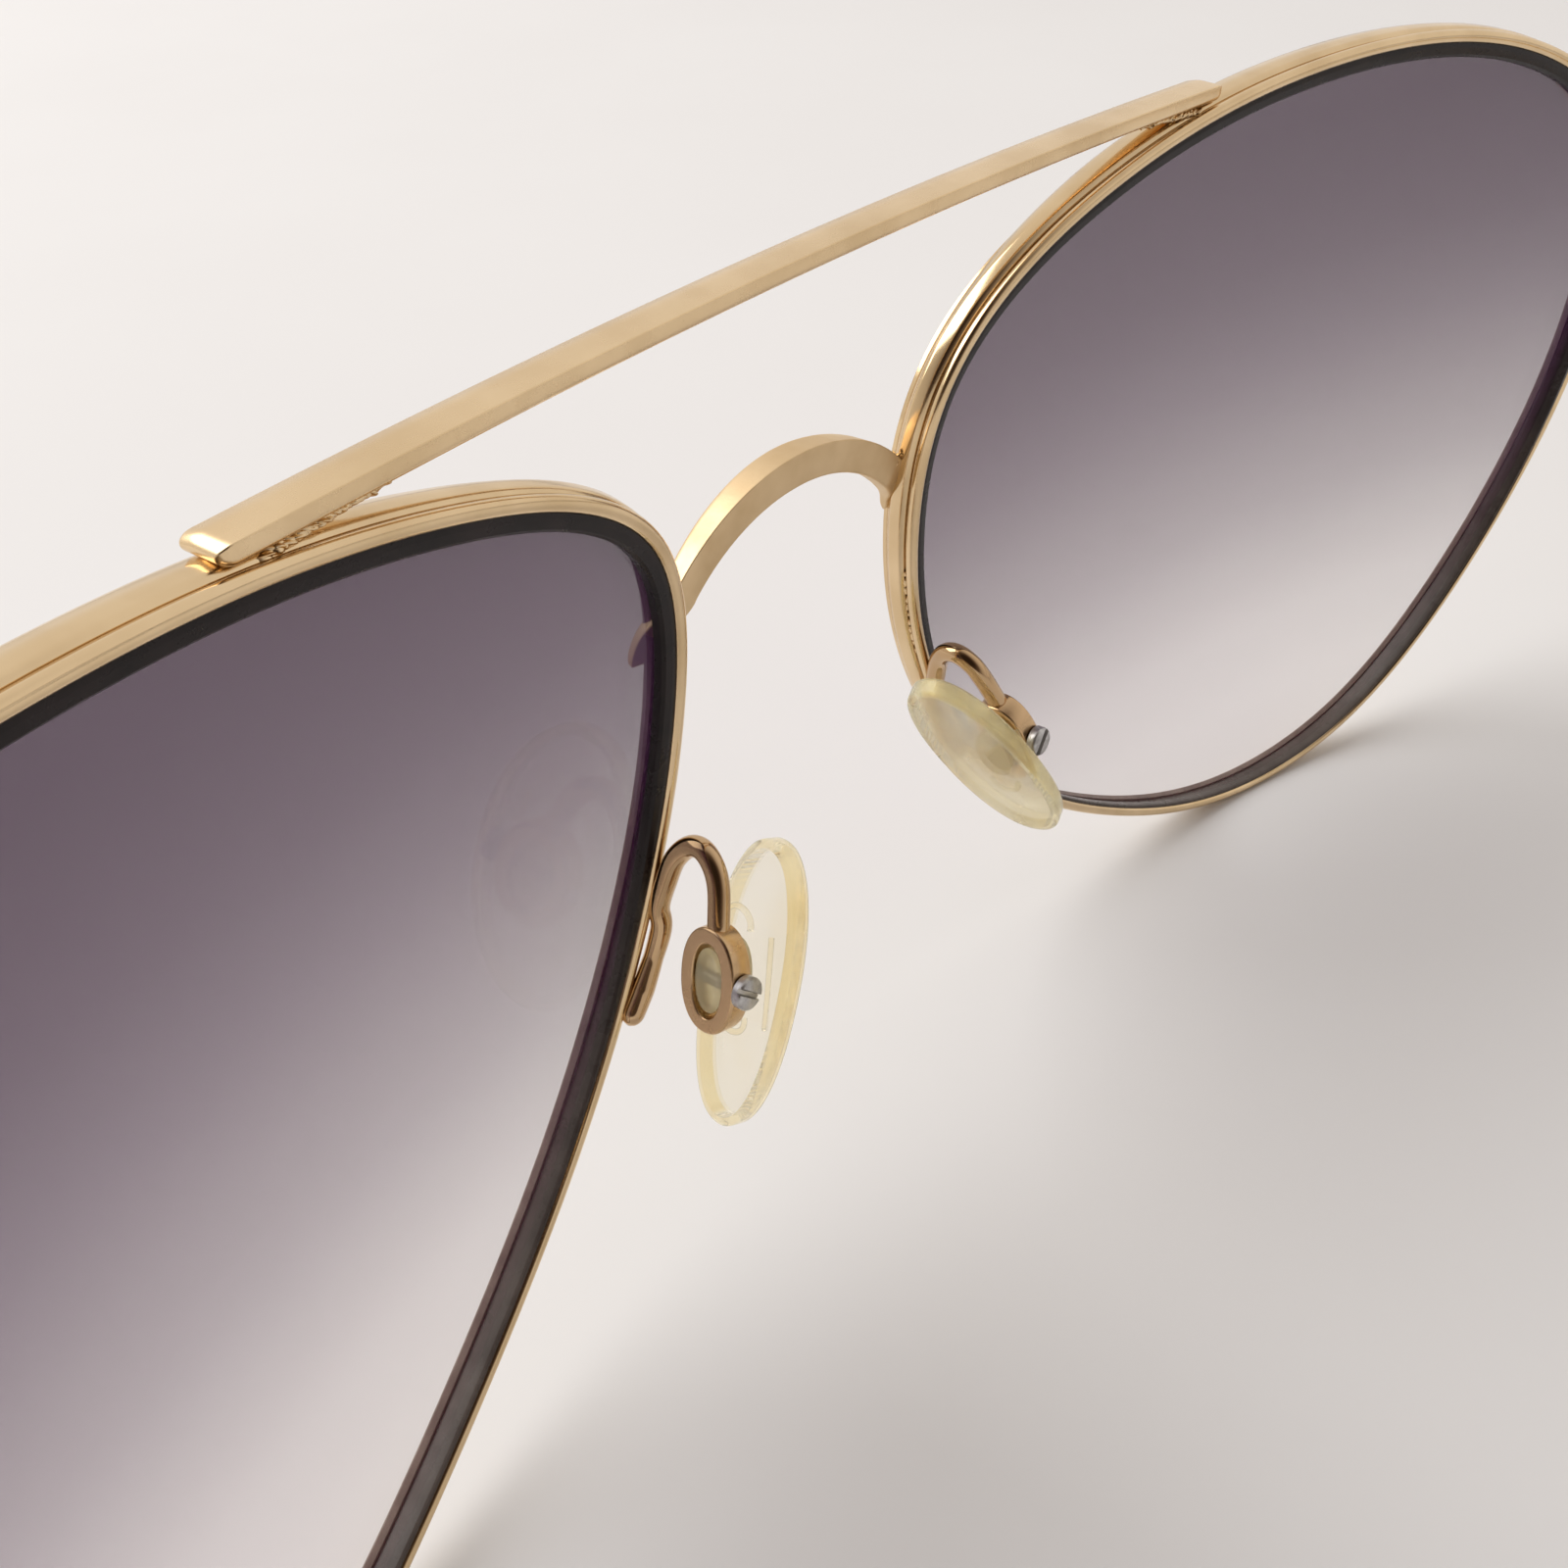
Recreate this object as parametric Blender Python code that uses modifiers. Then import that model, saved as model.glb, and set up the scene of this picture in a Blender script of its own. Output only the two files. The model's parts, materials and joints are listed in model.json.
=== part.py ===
"""Aviator sunglasses: double-bar metal frame with gradient lenses and adjustable nose pads.

Millimetres are used throughout and turned into metres as geometry is made.
The front of the glasses faces -Y, the temples run back along +Y, +X is the
wearer's left and +Z is up.  The pair stands open on the two rim bottoms and the
two temple tips, with the floor at z = 0 and the middle of the bridge at x = 0.
Left pieces are modelled first, with y = 0 at the bridge, and mirrored for the right;
the last lines move the finished pair so that the origin is under its middle.
"""
import math

import bmesh
import bpy
import numpy as np
from mathutils import Matrix, Vector

MM = 0.001

# overall sizes
LENS_W = 58.0            # lens opening width inside the gold back lip
LENS_H = 49.0            # lens opening height inside the gold back lip
HALF_GAP = 8.2           # half the gap between the two lens openings
WRAP = 0.217             # sideways slope of each lens plane
BASE_R = 120.0           # lens base-curve radius
FIT = 0.05               # gap left between neighbouring pieces

# eyewire section, measured outward (n) and back (b) from the opening's back edge
LIP_W = 0.64             # width of the gold back lip
WALL_N = 0.40            # outside of the eyewire wall
CHAN_N = 0.20            # bottom of the lens channel
LIP_T = 0.30             # thickness of the back lip
WIRE_D = 1.80            # eyewire depth, back to front
FRONT_T = 0.25           # thickness of the front lip

LINER_W = 0.70           # black liner, width seen from the back
LINER_T = 0.52           # front face of the liner, forward of the lip's back face
LENS_SET = 0.67          # lens back face, forward of the lip's back face
LENS_IN = 0.12           # lens edge inside the channel
LENS_T = 0.78            # lens thickness

BAND_TOP = 0.78          # outer band crown
BAND_D = 2.30            # outer band front face

# brow bar
BAR_HALF = 26.8
BAR_W = 2.0
BAR_T = 0.72
BAR_TOP = 0.6            # top face above the lens opening's highest point
BAR_BOW = 263.0
BAR_BACK = -0.78
SEAT_END = 0.30          # seat cut in the band, past the end of the bar

# bridge
BRIDGE_Z = 15.1
BRIDGE_H = 1.5
BRIDGE_D = 1.55
BRIDGE_Y = -3.8
BRIDGE_R = 9.66

# nose pads and their carriers
ARM_R = 0.5
BOX_C = (11.24, 1.64, -2.96)
BOX_A = 2.50
BOX_B = 1.58
BOX_T = 1.20
BOX_WALL = 0.36
PAD_C = (9.77, 1.88, -4.05)
PAD_A = 6.9
PAD_B = 2.85
PAD_T = 1.65
PAD_GAP = 0.50           # room between the box and the back of the pad
PAD_TURN = 5.5           # left and right pads sit turned by this much, in degrees
SCREW_R = 0.35
HEAD_R = 0.76

# temples
HINGE_Z = 12.4 * LENS_H / 49.0    # middle height of end pieces and hinges
HINGE_H = 3.2
TEMPLE_T = 1.1
STRAIGHT = 88.0
KNUCKLE_R = 1.1
PIN_R = 0.45
TIP_W = 2.3
TIP_H = 3.0

# ---------------------------------------------------------------- set-up
for old in list(bpy.data.objects):
    bpy.data.objects.remove(old, do_unlink=True)
for old in list(bpy.data.collections):
    bpy.data.collections.remove(old)

scene = bpy.context.scene
parts = bpy.data.collections.new("aviator_sunglasses")
cutters = bpy.data.collections.new("cutters")
scene.collection.children.link(parts)
scene.collection.children.link(cutters)


def material(name, colour, metallic=0.0, roughness=0.4, alpha=1.0, transmission=0.0):
    mat = bpy.data.materials.new(name)
    mat.use_nodes = True
    shader = mat.node_tree.nodes["Principled BSDF"]
    shader.inputs["Base Color"].default_value = (*colour, 1.0)
    shader.inputs["Metallic"].default_value = metallic
    shader.inputs["Roughness"].default_value = roughness
    shader.inputs["Alpha"].default_value = alpha
    shader.inputs["Transmission Weight"].default_value = transmission
    mat.diffuse_color = (*colour, alpha)
    return mat


GOLD = (0.72, 0.52, 0.28)


def own_material(name, kind):
    if kind == "gold":
        return material("mat_" + name, GOLD, 1.0, 0.32)
    if kind == "black":
        return material("mat_" + name, (0.012, 0.011, 0.012), 0.0, 0.18)
    if kind == "lens":
        return material("mat_" + name, (0.36, 0.31, 0.38), 0.0, 0.04, 0.6, 0.6)
    if kind == "clear":
        return material("mat_" + name, (0.86, 0.78, 0.55), 0.0, 0.22, 0.7, 0.6)
    if kind == "steel":
        return material("mat_" + name, (0.56, 0.56, 0.57), 1.0, 0.25)
    return material("mat_" + name, (0.03, 0.022, 0.018), 0.0, 0.2)


# ---------------------------------------------------------------- lens outline
# Landmarks round a 58 x 49 mm lens opening, in mm from its centre, starting at the
# temple side and going up, over the brow and down the nose side.
LANDMARKS = (
    (31.0, 5.0), (27.0, 16.0), (18.0, 22.0), (-1.5, 24.5), (-16.0, 22.0),
    (-25.5, 16.0), (-26.5, 8.0), (-24.5, 0.0), (-17.0, -12.0), (-7.0, -20.0),
    (5.0, -24.5), (16.0, -23.0), (26.5, -13.0),
)


def smooth_loop(points, count):
    """Closed cubic through the points, resampled at even steps."""
    pts = np.array(points, float)
    n = len(pts)
    step = np.linalg.norm(np.roll(pts, -1, 0) - pts, axis=1)
    system = np.zeros((n, n))
    rhs = np.zeros((n, 2))
    for i in range(n):
        h0 = step[i - 1]
        h1 = step[i]
        system[i, i - 1] += h0
        system[i, i] += 2.0 * (h0 + h1)
        system[i, (i + 1) % n] += h1
        ahead = (pts[(i + 1) % n] - pts[i]) / h1
        behind = (pts[i] - pts[i - 1]) / h0
        rhs[i] = 6.0 * (ahead - behind)
    curv = np.linalg.solve(system, rhs)
    fine = []
    for i in range(n):
        h = step[i]
        a = pts[i]
        b = pts[(i + 1) % n]
        ma = curv[i]
        mb = curv[(i + 1) % n]
        for t in np.linspace(0.0, 1.0, 40, endpoint=False):
            u = t * h
            v = h - u
            p = ma * v ** 3 / (6 * h) + mb * u ** 3 / (6 * h)
            p = p + (a / h - ma * h / 6) * v + (b / h - mb * h / 6) * u
            fine.append(p)
    fine = np.array(fine)
    closed = np.vstack([fine, fine[:1]])
    run = np.concatenate([[0.0], np.cumsum(np.linalg.norm(np.diff(closed, axis=0), axis=1))])
    want = np.linspace(0.0, run[-1], count, endpoint=False)
    return np.stack([np.interp(want, run, closed[:, k]) for k in (0, 1)], 1)


RIM_STEPS = 64
SHAPE = np.array([(u * LENS_W / 58.0, v * LENS_H / 49.0) for u, v in LANDMARKS])
LOOP = smooth_loop(SHAPE, RIM_STEPS)
CX = HALF_GAP - LOOP[:, 0].min()
TOP_Z = LOOP[:, 1].max()
FLOOR = LOOP[:, 1].min() - LIP_W
NOSE_SHIFT = HALF_GAP - 8.2


def base_y(x, z):
    """Back surface of the lens opening."""
    dx = x - CX
    return WRAP * dx + (dx * dx + z * z) / (2.0 * BASE_R)


def outward(loop):
    along = np.roll(loop, -1, 0) - np.roll(loop, 1, 0)
    along /= np.linalg.norm(along, axis=1)[:, None]
    return np.stack([along[:, 1], -along[:, 0]], 1)


def rim_point(index, n, b):
    """Point at loop station index, n outward and b back of the lip edge."""
    normal = outward(LOOP)[index]
    x = CX + LOOP[index, 0] + n * normal[0]
    z = LOOP[index, 1] + n * normal[1]
    y = base_y(CX + LOOP[index, 0], LOOP[index, 1]) + b
    return (x, y, z)


# ---------------------------------------------------------------- makers
def link(obj, collection=None):
    (collection or cutters).objects.link(obj)
    return obj


def mesh_object(name, mesh):
    return link(bpy.data.objects.new(name, mesh))


def evaluated(obj):
    graph = bpy.context.evaluated_depsgraph_get()
    graph.update()
    mesh = bpy.data.meshes.new_from_object(obj.evaluated_get(graph))
    bm = bmesh.new()
    bm.from_mesh(mesh)
    bmesh.ops.remove_doubles(bm, verts=bm.verts, dist=1e-6)
    bmesh.ops.recalc_face_normals(bm, faces=bm.faces)
    bm.to_mesh(mesh)
    bm.free()
    return mesh


def bake(obj, name=None, matrix=None):
    """Turn a curve or a modified object into a plain mesh object."""
    mesh = evaluated(obj)
    mesh.transform(obj.matrix_world if matrix is None else matrix)
    made = mesh_object(name or obj.name, mesh)
    bpy.data.objects.remove(obj, do_unlink=True)
    return made


def sweep(name, path, section, cyclic=False, radii=None, frame=None):
    """Closed flat section carried along a path; the section's second axis stays up."""
    flat = bpy.data.curves.new(name + "_section", "CURVE")
    flat.dimensions = "2D"
    line = flat.splines.new("POLY")
    line.points.add(len(section) - 1)
    for point, (a, b) in zip(line.points, section):
        point.co = (a * MM, b * MM, 0.0, 1.0)
    line.use_cyclic_u = True
    flat_obj = link(bpy.data.objects.new(name + "_section", flat))
    curve = bpy.data.curves.new(name + "_path", "CURVE")
    curve.dimensions = "3D"
    curve.twist_mode = "Z_UP"
    curve.bevel_mode = "OBJECT"
    curve.bevel_object = flat_obj
    curve.use_fill_caps = not cyclic
    spline = curve.splines.new("POLY")
    spline.points.add(len(path) - 1)
    for i, p in enumerate(path):
        spline.points[i].co = (p[0] * MM, p[1] * MM, p[2] * MM, 1.0)
        spline.points[i].radius = 1.0 if radii is None else radii[i]
    spline.use_cyclic_u = cyclic
    obj = link(bpy.data.objects.new(name, curve))
    made = bake(obj, name, frame or Matrix.Identity(4))
    bpy.data.objects.remove(flat_obj, do_unlink=True)
    return made


# a flat drawing frame stood upright: its x stays x, its y becomes z, its z becomes -y
UPRIGHT = Matrix.Rotation(math.pi / 2, 4, "X")


def rim_path(first=0, last=RIM_STEPS, n=0.0):
    pts = []
    for i in range(first, last):
        x, y, z = rim_point(i % RIM_STEPS, n, 0.0)
        pts.append((x, z, -y))
    return pts


def slab(name, splines, depth, edge=0.0, frame=None):
    """Flat closed outlines (mm) filled and thickened about their plane."""
    curve = bpy.data.curves.new(name + "_flat", "CURVE")
    curve.dimensions = "2D"
    curve.fill_mode = "BOTH"
    curve.extrude = (depth / 2 - edge) * MM
    curve.bevel_depth = edge * MM
    curve.bevel_resolution = 1
    curve.offset = -edge * MM
    for outline in splines:
        spline = curve.splines.new("POLY")
        spline.points.add(len(outline) - 1)
        for i, p in enumerate(outline):
            spline.points[i].co = (p[0] * MM, p[1] * MM, 0.0, 1.0)
        spline.use_cyclic_u = True
    obj = link(bpy.data.objects.new(name, curve))
    return bake(obj, name, frame or Matrix.Identity(4))


def block(name, size, centre, frame=None, bevel=0.0, segments=1):
    mesh = bpy.data.meshes.new(name)
    bm = bmesh.new()
    bmesh.ops.create_cube(bm, size=1.0)
    bmesh.ops.scale(bm, vec=Vector(size) * MM, verts=bm.verts)
    if bevel:
        bmesh.ops.bevel(bm, geom=bm.edges[:], offset=bevel * MM, segments=segments,
                        affect="EDGES", profile=0.5)
    bm.to_mesh(mesh)
    bm.free()
    place = Matrix.Translation(Vector(centre) * MM)
    mesh.transform(place @ (frame or Matrix.Identity(4)))
    return mesh_object(name, mesh)


def lathe(name, profile, steps, frame):
    """Profile of (radius, height) pairs turned about local Z with a Screw modifier."""
    mesh = bpy.data.meshes.new(name)
    bm = bmesh.new()
    verts = [bm.verts.new((r * MM, 0.0, h * MM)) for r, h in profile]
    for a, b in zip(verts, verts[1:]):
        bm.edges.new((a, b))
    bm.to_mesh(mesh)
    bm.free()
    obj = mesh_object(name, mesh)
    turn = obj.modifiers.new("turn", "SCREW")
    turn.steps = steps
    turn.render_steps = steps
    turn.use_merge_vertices = True
    turn.merge_threshold = 0.000001
    return bake(obj, name, frame)


def rod(name, radius, start, end, steps=20):
    a = Vector(start)
    b = Vector(end)
    frame = Matrix.Translation(a * MM) @ (b - a).to_track_quat("Z", "Y").to_matrix().to_4x4()
    length = (b - a).length
    return lathe(name, [(0.0, 0.0), (radius, 0.0), (radius, length), (0.0, length)], steps, frame)


def combine(obj, tool, mode, keep=False):
    mod = obj.modifiers.new("combine", "BOOLEAN")
    mod.operation = mode
    mod.object = tool
    mod.solver = "EXACT"
    made = bake(obj, obj.name, obj.matrix_world.copy())
    if not keep:
        bpy.data.objects.remove(tool, do_unlink=True)
    return made


def mirrored(obj, name):
    mesh = obj.data.copy()
    mesh.transform(Matrix.Diagonal((-1.0, 1.0, 1.0, 1.0)))
    mesh.flip_normals()
    return mesh_object(name, mesh)


LIFT = Matrix.Translation((0.0, 0.0, -FLOOR * MM))


def finish(obj, name, kind, origin=None):
    """Lift onto the floor, set the origin (mm), give it its material and file it."""
    mesh = obj.data
    mesh.transform(LIFT)
    if origin is None:
        corners = [v.co for v in mesh.vertices]
        low = Vector([min(c[k] for c in corners) for k in range(3)])
        high = Vector([max(c[k] for c in corners) for k in range(3)])
        place = (low + high) / 2
    else:
        place = LIFT @ (Vector(origin) * MM)
    mesh.transform(Matrix.Translation(-place))
    mesh.materials.clear()
    mesh.materials.append(own_material(name, kind))
    mesh.shade_smooth()
    mesh.set_sharp_from_angle(angle=math.radians(32.0))
    obj.location = place
    cutters.objects.unlink(obj)
    parts.objects.link(obj)
    obj.name = name
    mesh.name = name
    return obj


def both(obj, stem, kind, origin=None):
    """File a left piece and its mirrored right twin."""
    twin = mirrored(obj, stem + "_R")
    finish(obj, stem + "_L", kind, origin)
    other = None if origin is None else (-origin[0], origin[1], origin[2])
    finish(twin, stem + "_R", kind, other)


# ---------------------------------------------------------------- rims
def rim_section(points):
    """Section drawn as (n outward, b back) pairs, turned for the sweep's own axes."""
    return [(n, -b) for n, b in points]


def make_rims():
    wire = rim_section([
        (0.0, 0.0), (LIP_W - 0.14, 0.0), (LIP_W, -0.12), (LIP_W - 0.02, -0.30),
        (WALL_N, -0.44), (WALL_N, -WIRE_D), (0.0, -WIRE_D), (0.0, FRONT_T - WIRE_D),
        (CHAN_N, FRONT_T - WIRE_D), (CHAN_N, -LIP_T), (0.0, -LIP_T),
    ])
    both(sweep("eyewire", rim_path(), wire, True, None, UPRIGHT), "eyewire", "gold")
    liner = rim_section([
        (-FIT, -FIT), (-0.45, -FIT), (-LINER_W, -0.22), (-LINER_W, -LINER_T),
        (CHAN_N - FIT, -LINER_T), (CHAN_N - FIT, -LIP_T - FIT), (-FIT, -LIP_T - FIT),
    ])
    both(sweep("rim_liner", rim_path(), liner, True, None, UPRIGHT), "rim_liner", "black")


def make_lenses():
    """Gridded sheet on the base curve, thickened and trimmed to the lens outline."""
    mesh = bpy.data.meshes.new("lens_sheet")
    bm = bmesh.new()
    bmesh.ops.create_grid(bm, x_segments=16, y_segments=14, size=0.5)
    for v in bm.verts:
        x = CX + v.co.x * (LENS_W + 14.0)
        z = v.co.y * (LENS_H + 12.0)
        v.co = Vector((x, base_y(x, z) - LENS_SET, z)) * MM
    bm.to_mesh(mesh)
    bm.free()
    sheet = mesh_object("lens", mesh)
    solid = sheet.modifiers.new("thick", "SOLIDIFY")
    solid.thickness = LENS_T * MM
    solid.offset = 1.0
    sheet = bake(sheet, "lens")
    mid = float(np.mean([v.co.y for v in sheet.data.vertices]))
    normal = outward(LOOP)
    edge = [(CX + p[0] + LENS_IN * q[0], p[1] + LENS_IN * q[1]) for p, q in zip(LOOP, normal)]
    shape = slab("lens_outline", [edge], 60.0, 0.0, Matrix.Translation((0, mid, 0)) @ UPRIGHT)
    both(combine(sheet, shape, "INTERSECT"), "lens", "lens")


def section_band():
    return rim_section([
        (WALL_N + FIT, -0.50), (0.58, -0.52), (0.70, -0.72), (BAND_TOP, -1.15),
        (BAND_TOP - 0.02, -1.55), (0.68, -1.98), (0.42, -BAND_D + 0.06), (0.18, -BAND_D),
        (0.0, -2.20), (0.0, -WIRE_D - FIT), (WALL_N + FIT, -WIRE_D - FIT),
    ])


def rim_keepout(with_band=False):
    """Solid ring a little larger than the rim, for trimming what is soldered on."""
    g = FIT
    if with_band:
        ring = [
            (-1.2, g), (LIP_W + g, g), (LIP_W + g, -0.40), (0.74 + g, -0.66),
            (BAND_TOP + g, -1.10), (BAND_TOP + g, -1.60), (0.70 + g, -2.02),
            (0.44 + g, -BAND_D), (0.20, -BAND_D - g), (-0.4, -BAND_D - g), (-1.2, -WIRE_D),
        ]
    else:
        ring = [
            (-1.2, g), (LIP_W + g, g), (LIP_W + g, -0.40), (WALL_N + g, -0.50),
            (WALL_N + g, -WIRE_D - g), (-1.2, -WIRE_D - g),
        ]
    return sweep("keepout", rim_path(), rim_section(ring), True, None, UPRIGHT)


def nearest_station(fx, fz):
    want = np.array((fx * LENS_W, fz * LENS_H))
    return int(np.argmin(np.linalg.norm(LOOP - want, axis=1)))


def make_bands():
    """Half-round outer band from the end piece over the brow and down the nose side."""
    start = nearest_station(0.49, 0.29)
    stop = nearest_station(-0.36, -0.15)
    path = rim_path(start, stop + 1)
    count = len(path)
    band = sweep("rim_band", path, section_band(), False, None, UPRIGHT)
    seat = block("seat", (BAR_HALF + 1.0 + SEAT_END, 12.0, 6.0),
                 ((BAR_HALF + SEAT_END) / 2 - 0.5, 0.0, TOP_Z + BAR_TOP - BAR_T - FIT + 3.0))
    band = combine(band, seat, "DIFFERENCE")
    return band


def make_bar():
    """Flat-topped brow bar, softly rounded, bowed forward in the middle."""
    half = BAR_W / 2
    low = -BAR_T / 2
    section = [
        (half - 0.10, -low), (half, -low - 0.10), (half, low + 0.26), (half - 0.10, low + 0.08),
        (half - 0.30, low), (-half + 0.30, low), (-half + 0.10, low + 0.08), (-half, low + 0.26),
        (-half, -low - 0.10), (-half + 0.10, -low),
    ]
    path = []
    for x in np.linspace(-BAR_HALF, BAR_HALF, 25):
        y = BAR_BACK + x * x / (2 * BAR_BOW) - half
        path.append((x, y, TOP_Z + BAR_TOP - BAR_T / 2))
    bar = sweep("brow_bar", path, section)
    finish(bar, "brow_bar", "gold")


def make_bridge():
    """Arched bridge bar that ends against the nose sides of the two rims."""
    h = BRIDGE_H / 2
    d = BRIDGE_D / 2
    section = [
        (h - 0.10, d), (h, d - 0.10), (h, -d + 0.10), (h - 0.10, -d),
        (-h + 0.10, -d), (-h, -d + 0.10), (-h, d - 0.10), (-h + 0.10, d),
    ]
    path = []
    for a in np.linspace(-1.0, 1.0, 25):
        x = a * (HALF_GAP - 0.1)
        z = BRIDGE_Z - BRIDGE_R + math.sqrt(BRIDGE_R ** 2 - x * x)
        forward = max(0.0, abs(x) - HALF_GAP + 1.8) * 0.3
        path.append((x, z, -(BRIDGE_Y - forward)))
    arch = sweep("bridge", path, section, False, None, UPRIGHT)
    left = rim_keepout(True)
    right = mirrored(left, "keepout_r")
    arch = combine(arch, left, "DIFFERENCE")
    arch = combine(arch, right, "DIFFERENCE")
    return arch


# ---------------------------------------------------------------- nose pads
def axes_frame(centre, long_axis, across):
    """Frame whose z is the axis 'across', whose x follows the long axis."""
    z = Vector(across).normalized()
    x = Vector(long_axis)
    x = (x - z * x.dot(z)).normalized()
    y = z.cross(x)
    turn = Matrix((x, y, z)).transposed().to_4x4()
    return Matrix.Translation(Vector(centre) * MM) @ turn


def oval(a, b, count, power=2.3):
    pts = []
    for i in range(count):
        t = 2 * math.pi * i / count
        c = math.cos(t)
        s = math.sin(t)
        pts.append((a * math.copysign(abs(c) ** (2 / power), c),
                    b * math.copysign(abs(s) ** (2 / power), s)))
    return pts


def shifted(point):
    return (point[0] + NOSE_SHIFT, point[1], point[2])


BOX_LONG = Vector((-0.323, -0.165, 0.932)).normalized()
BOX_ACROSS = Vector((0.946, -0.046, 0.320)).normalized()
BOX_AT = Vector(shifted(BOX_C))


def pivot_axis():
    axis = BOX_LONG.cross(BOX_ACROSS).normalized()
    if axis.y < 0:
        axis = -axis
    return axis


def make_nose_parts():
    frame = axes_frame(BOX_AT, BOX_LONG, BOX_ACROSS)
    pin = pivot_axis()
    # carrier box: an oval tube with its screw holes
    outer = oval(BOX_A, BOX_B, 24)
    inner = oval(BOX_A - BOX_WALL, BOX_B - BOX_WALL, 24)
    box = slab("pad_box", [outer, inner], BOX_T, 0.06, frame)
    hole = rod("hole", SCREW_R + FIT, BOX_AT - pin * 3.0, BOX_AT + pin * 3.0, 14)
    box = combine(box, hole, "DIFFERENCE")
    both(box, "pad_box", "gold")
    # pivot screw with a slotted head on the back of the box
    seat = BOX_B + FIT
    sframe = axes_frame(BOX_AT, BOX_LONG, pin)
    tail = -(BOX_B + 0.15)
    screw = lathe("pad_screw", [
        (0.0, tail), (SCREW_R - 0.08, tail), (SCREW_R, tail + 0.08), (SCREW_R, seat),
        (HEAD_R, seat), (HEAD_R, seat + 0.34), (HEAD_R - 0.14, seat + 0.46), (0.0, seat + 0.50),
    ], 20, sframe)
    slot = block("slot", (0.20, 3.0, 0.5), (0, 0, 0))
    slot.data.transform(sframe @ Matrix.Translation((0, 0, (seat + 0.5 + 0.05) * MM))
                        @ Matrix.Rotation(math.radians(62), 4, "Z"))
    screw = combine(screw, slot, "DIFFERENCE")
    both(screw, "pad_screw", "steel", tuple(BOX_AT))
    # pads: clear oval, tilted, with a lug that goes into the box
    for side, stem, turn in ((1, "nose_pad_L", -PAD_TURN), (-1, "nose_pad_R", PAD_TURN)):
        across = Vector((0.885, -0.226, 0.410))
        long_axis = Vector((-0.452, -0.170, 0.876))
        pframe = axes_frame(shifted(PAD_C), long_axis, across)
        pframe = pframe @ Matrix.Rotation(math.radians(turn), 4, "Z")
        pad = slab(stem, [oval(PAD_A, PAD_B, 28, 2.2)], PAD_T, 0.55, pframe)
        recess = slab("recess", [oval(BOX_A + 0.45, BOX_B + 0.45, 20)], 3.0, 0.0,
                      frame @ Matrix.Translation((0, 0, (1.5 - BOX_T / 2 - PAD_GAP) * MM)))
        pad = combine(pad, recess, "DIFFERENCE")
        scoop = rod("scoop", HEAD_R + 0.22, BOX_AT + pin * (BOX_B - 0.25), BOX_AT + pin * 4.0, 18)
        pad = combine(pad, scoop, "DIFFERENCE")
        lug_in = BOX_T / 2 - 0.15
        deep = lug_in + 1.35
        lframe = frame @ Matrix.Translation((0, 0, (lug_in - deep / 2) * MM))
        lug = slab("lug", [oval(BOX_A - BOX_WALL - 0.35, BOX_B - BOX_WALL - 0.12, 16)],
                   deep, 0.0, lframe)
        pad = combine(pad, lug, "UNION")
        bore = rod("bore", SCREW_R + FIT, BOX_AT - pin * 3.0, BOX_AT + pin * 3.0, 14)
        pad = combine(pad, bore, "DIFFERENCE")
        if side < 0:
            twin = mirrored(pad, stem)
            bpy.data.objects.remove(pad, do_unlink=True)
            pad = twin
        finish(pad, stem, "clear", (side * BOX_AT.x, BOX_AT.y, BOX_AT.z))


def make_arms():
    """Bent round wire from the nose side of the rim, up and over to the pad box."""
    a = nearest_station(-0.39, -0.11)
    b = nearest_station(-0.37, -0.14)
    c = nearest_station(-0.41, -0.055)
    off_n = LIP_W + ARM_R + FIT
    first = [rim_point(b, off_n, -0.05), rim_point(a, off_n, 0.0), rim_point(c, off_n + 0.05, 0.1)]
    top = BOX_AT + BOX_LONG * (BOX_A + 0.02)
    loop = [
        (10.05, -2.25, -1.6), (9.85, -2.05, -0.2), (9.65, -1.75, 1.1), (9.5, -1.15, 1.95),
        (9.62, -0.40, 1.98), (9.90, 0.30, 1.30), (10.15, 0.80, 0.45),
    ]
    pts = first + [shifted(p) for p in loop] + [tuple(top + BOX_LONG * 0.10)]
    curve = bpy.data.curves.new("pad_arm_path", "CURVE")
    curve.dimensions = "3D"
    curve.twist_mode = "MINIMUM"
    curve.bevel_depth = ARM_R * MM
    curve.bevel_resolution = 2
    curve.use_fill_caps = True
    curve.resolution_u = 3
    spline = curve.splines.new("BEZIER")
    spline.bezier_points.add(len(pts) - 1)
    for i, p in enumerate(pts):
        point = spline.bezier_points[i]
        point.co = Vector(p) * MM
        point.handle_left_type = "AUTO"
        point.handle_right_type = "AUTO"
    obj = link(bpy.data.objects.new("pad_arm", curve))
    arm = bake(obj, "pad_arm")
    tool = slab("box_clear", [oval(BOX_A + FIT, BOX_B + FIT, 24)], BOX_T + 2 * FIT, 0.0,
                axes_frame(BOX_AT, BOX_LONG, BOX_ACROSS))
    arm = combine(arm, tool, "DIFFERENCE")
    arm = combine(arm, rim_keepout(), "DIFFERENCE")
    return arm


# ---------------------------------------------------------------- temples
HINGE_AT = nearest_station(0.49, 0.26)


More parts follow.
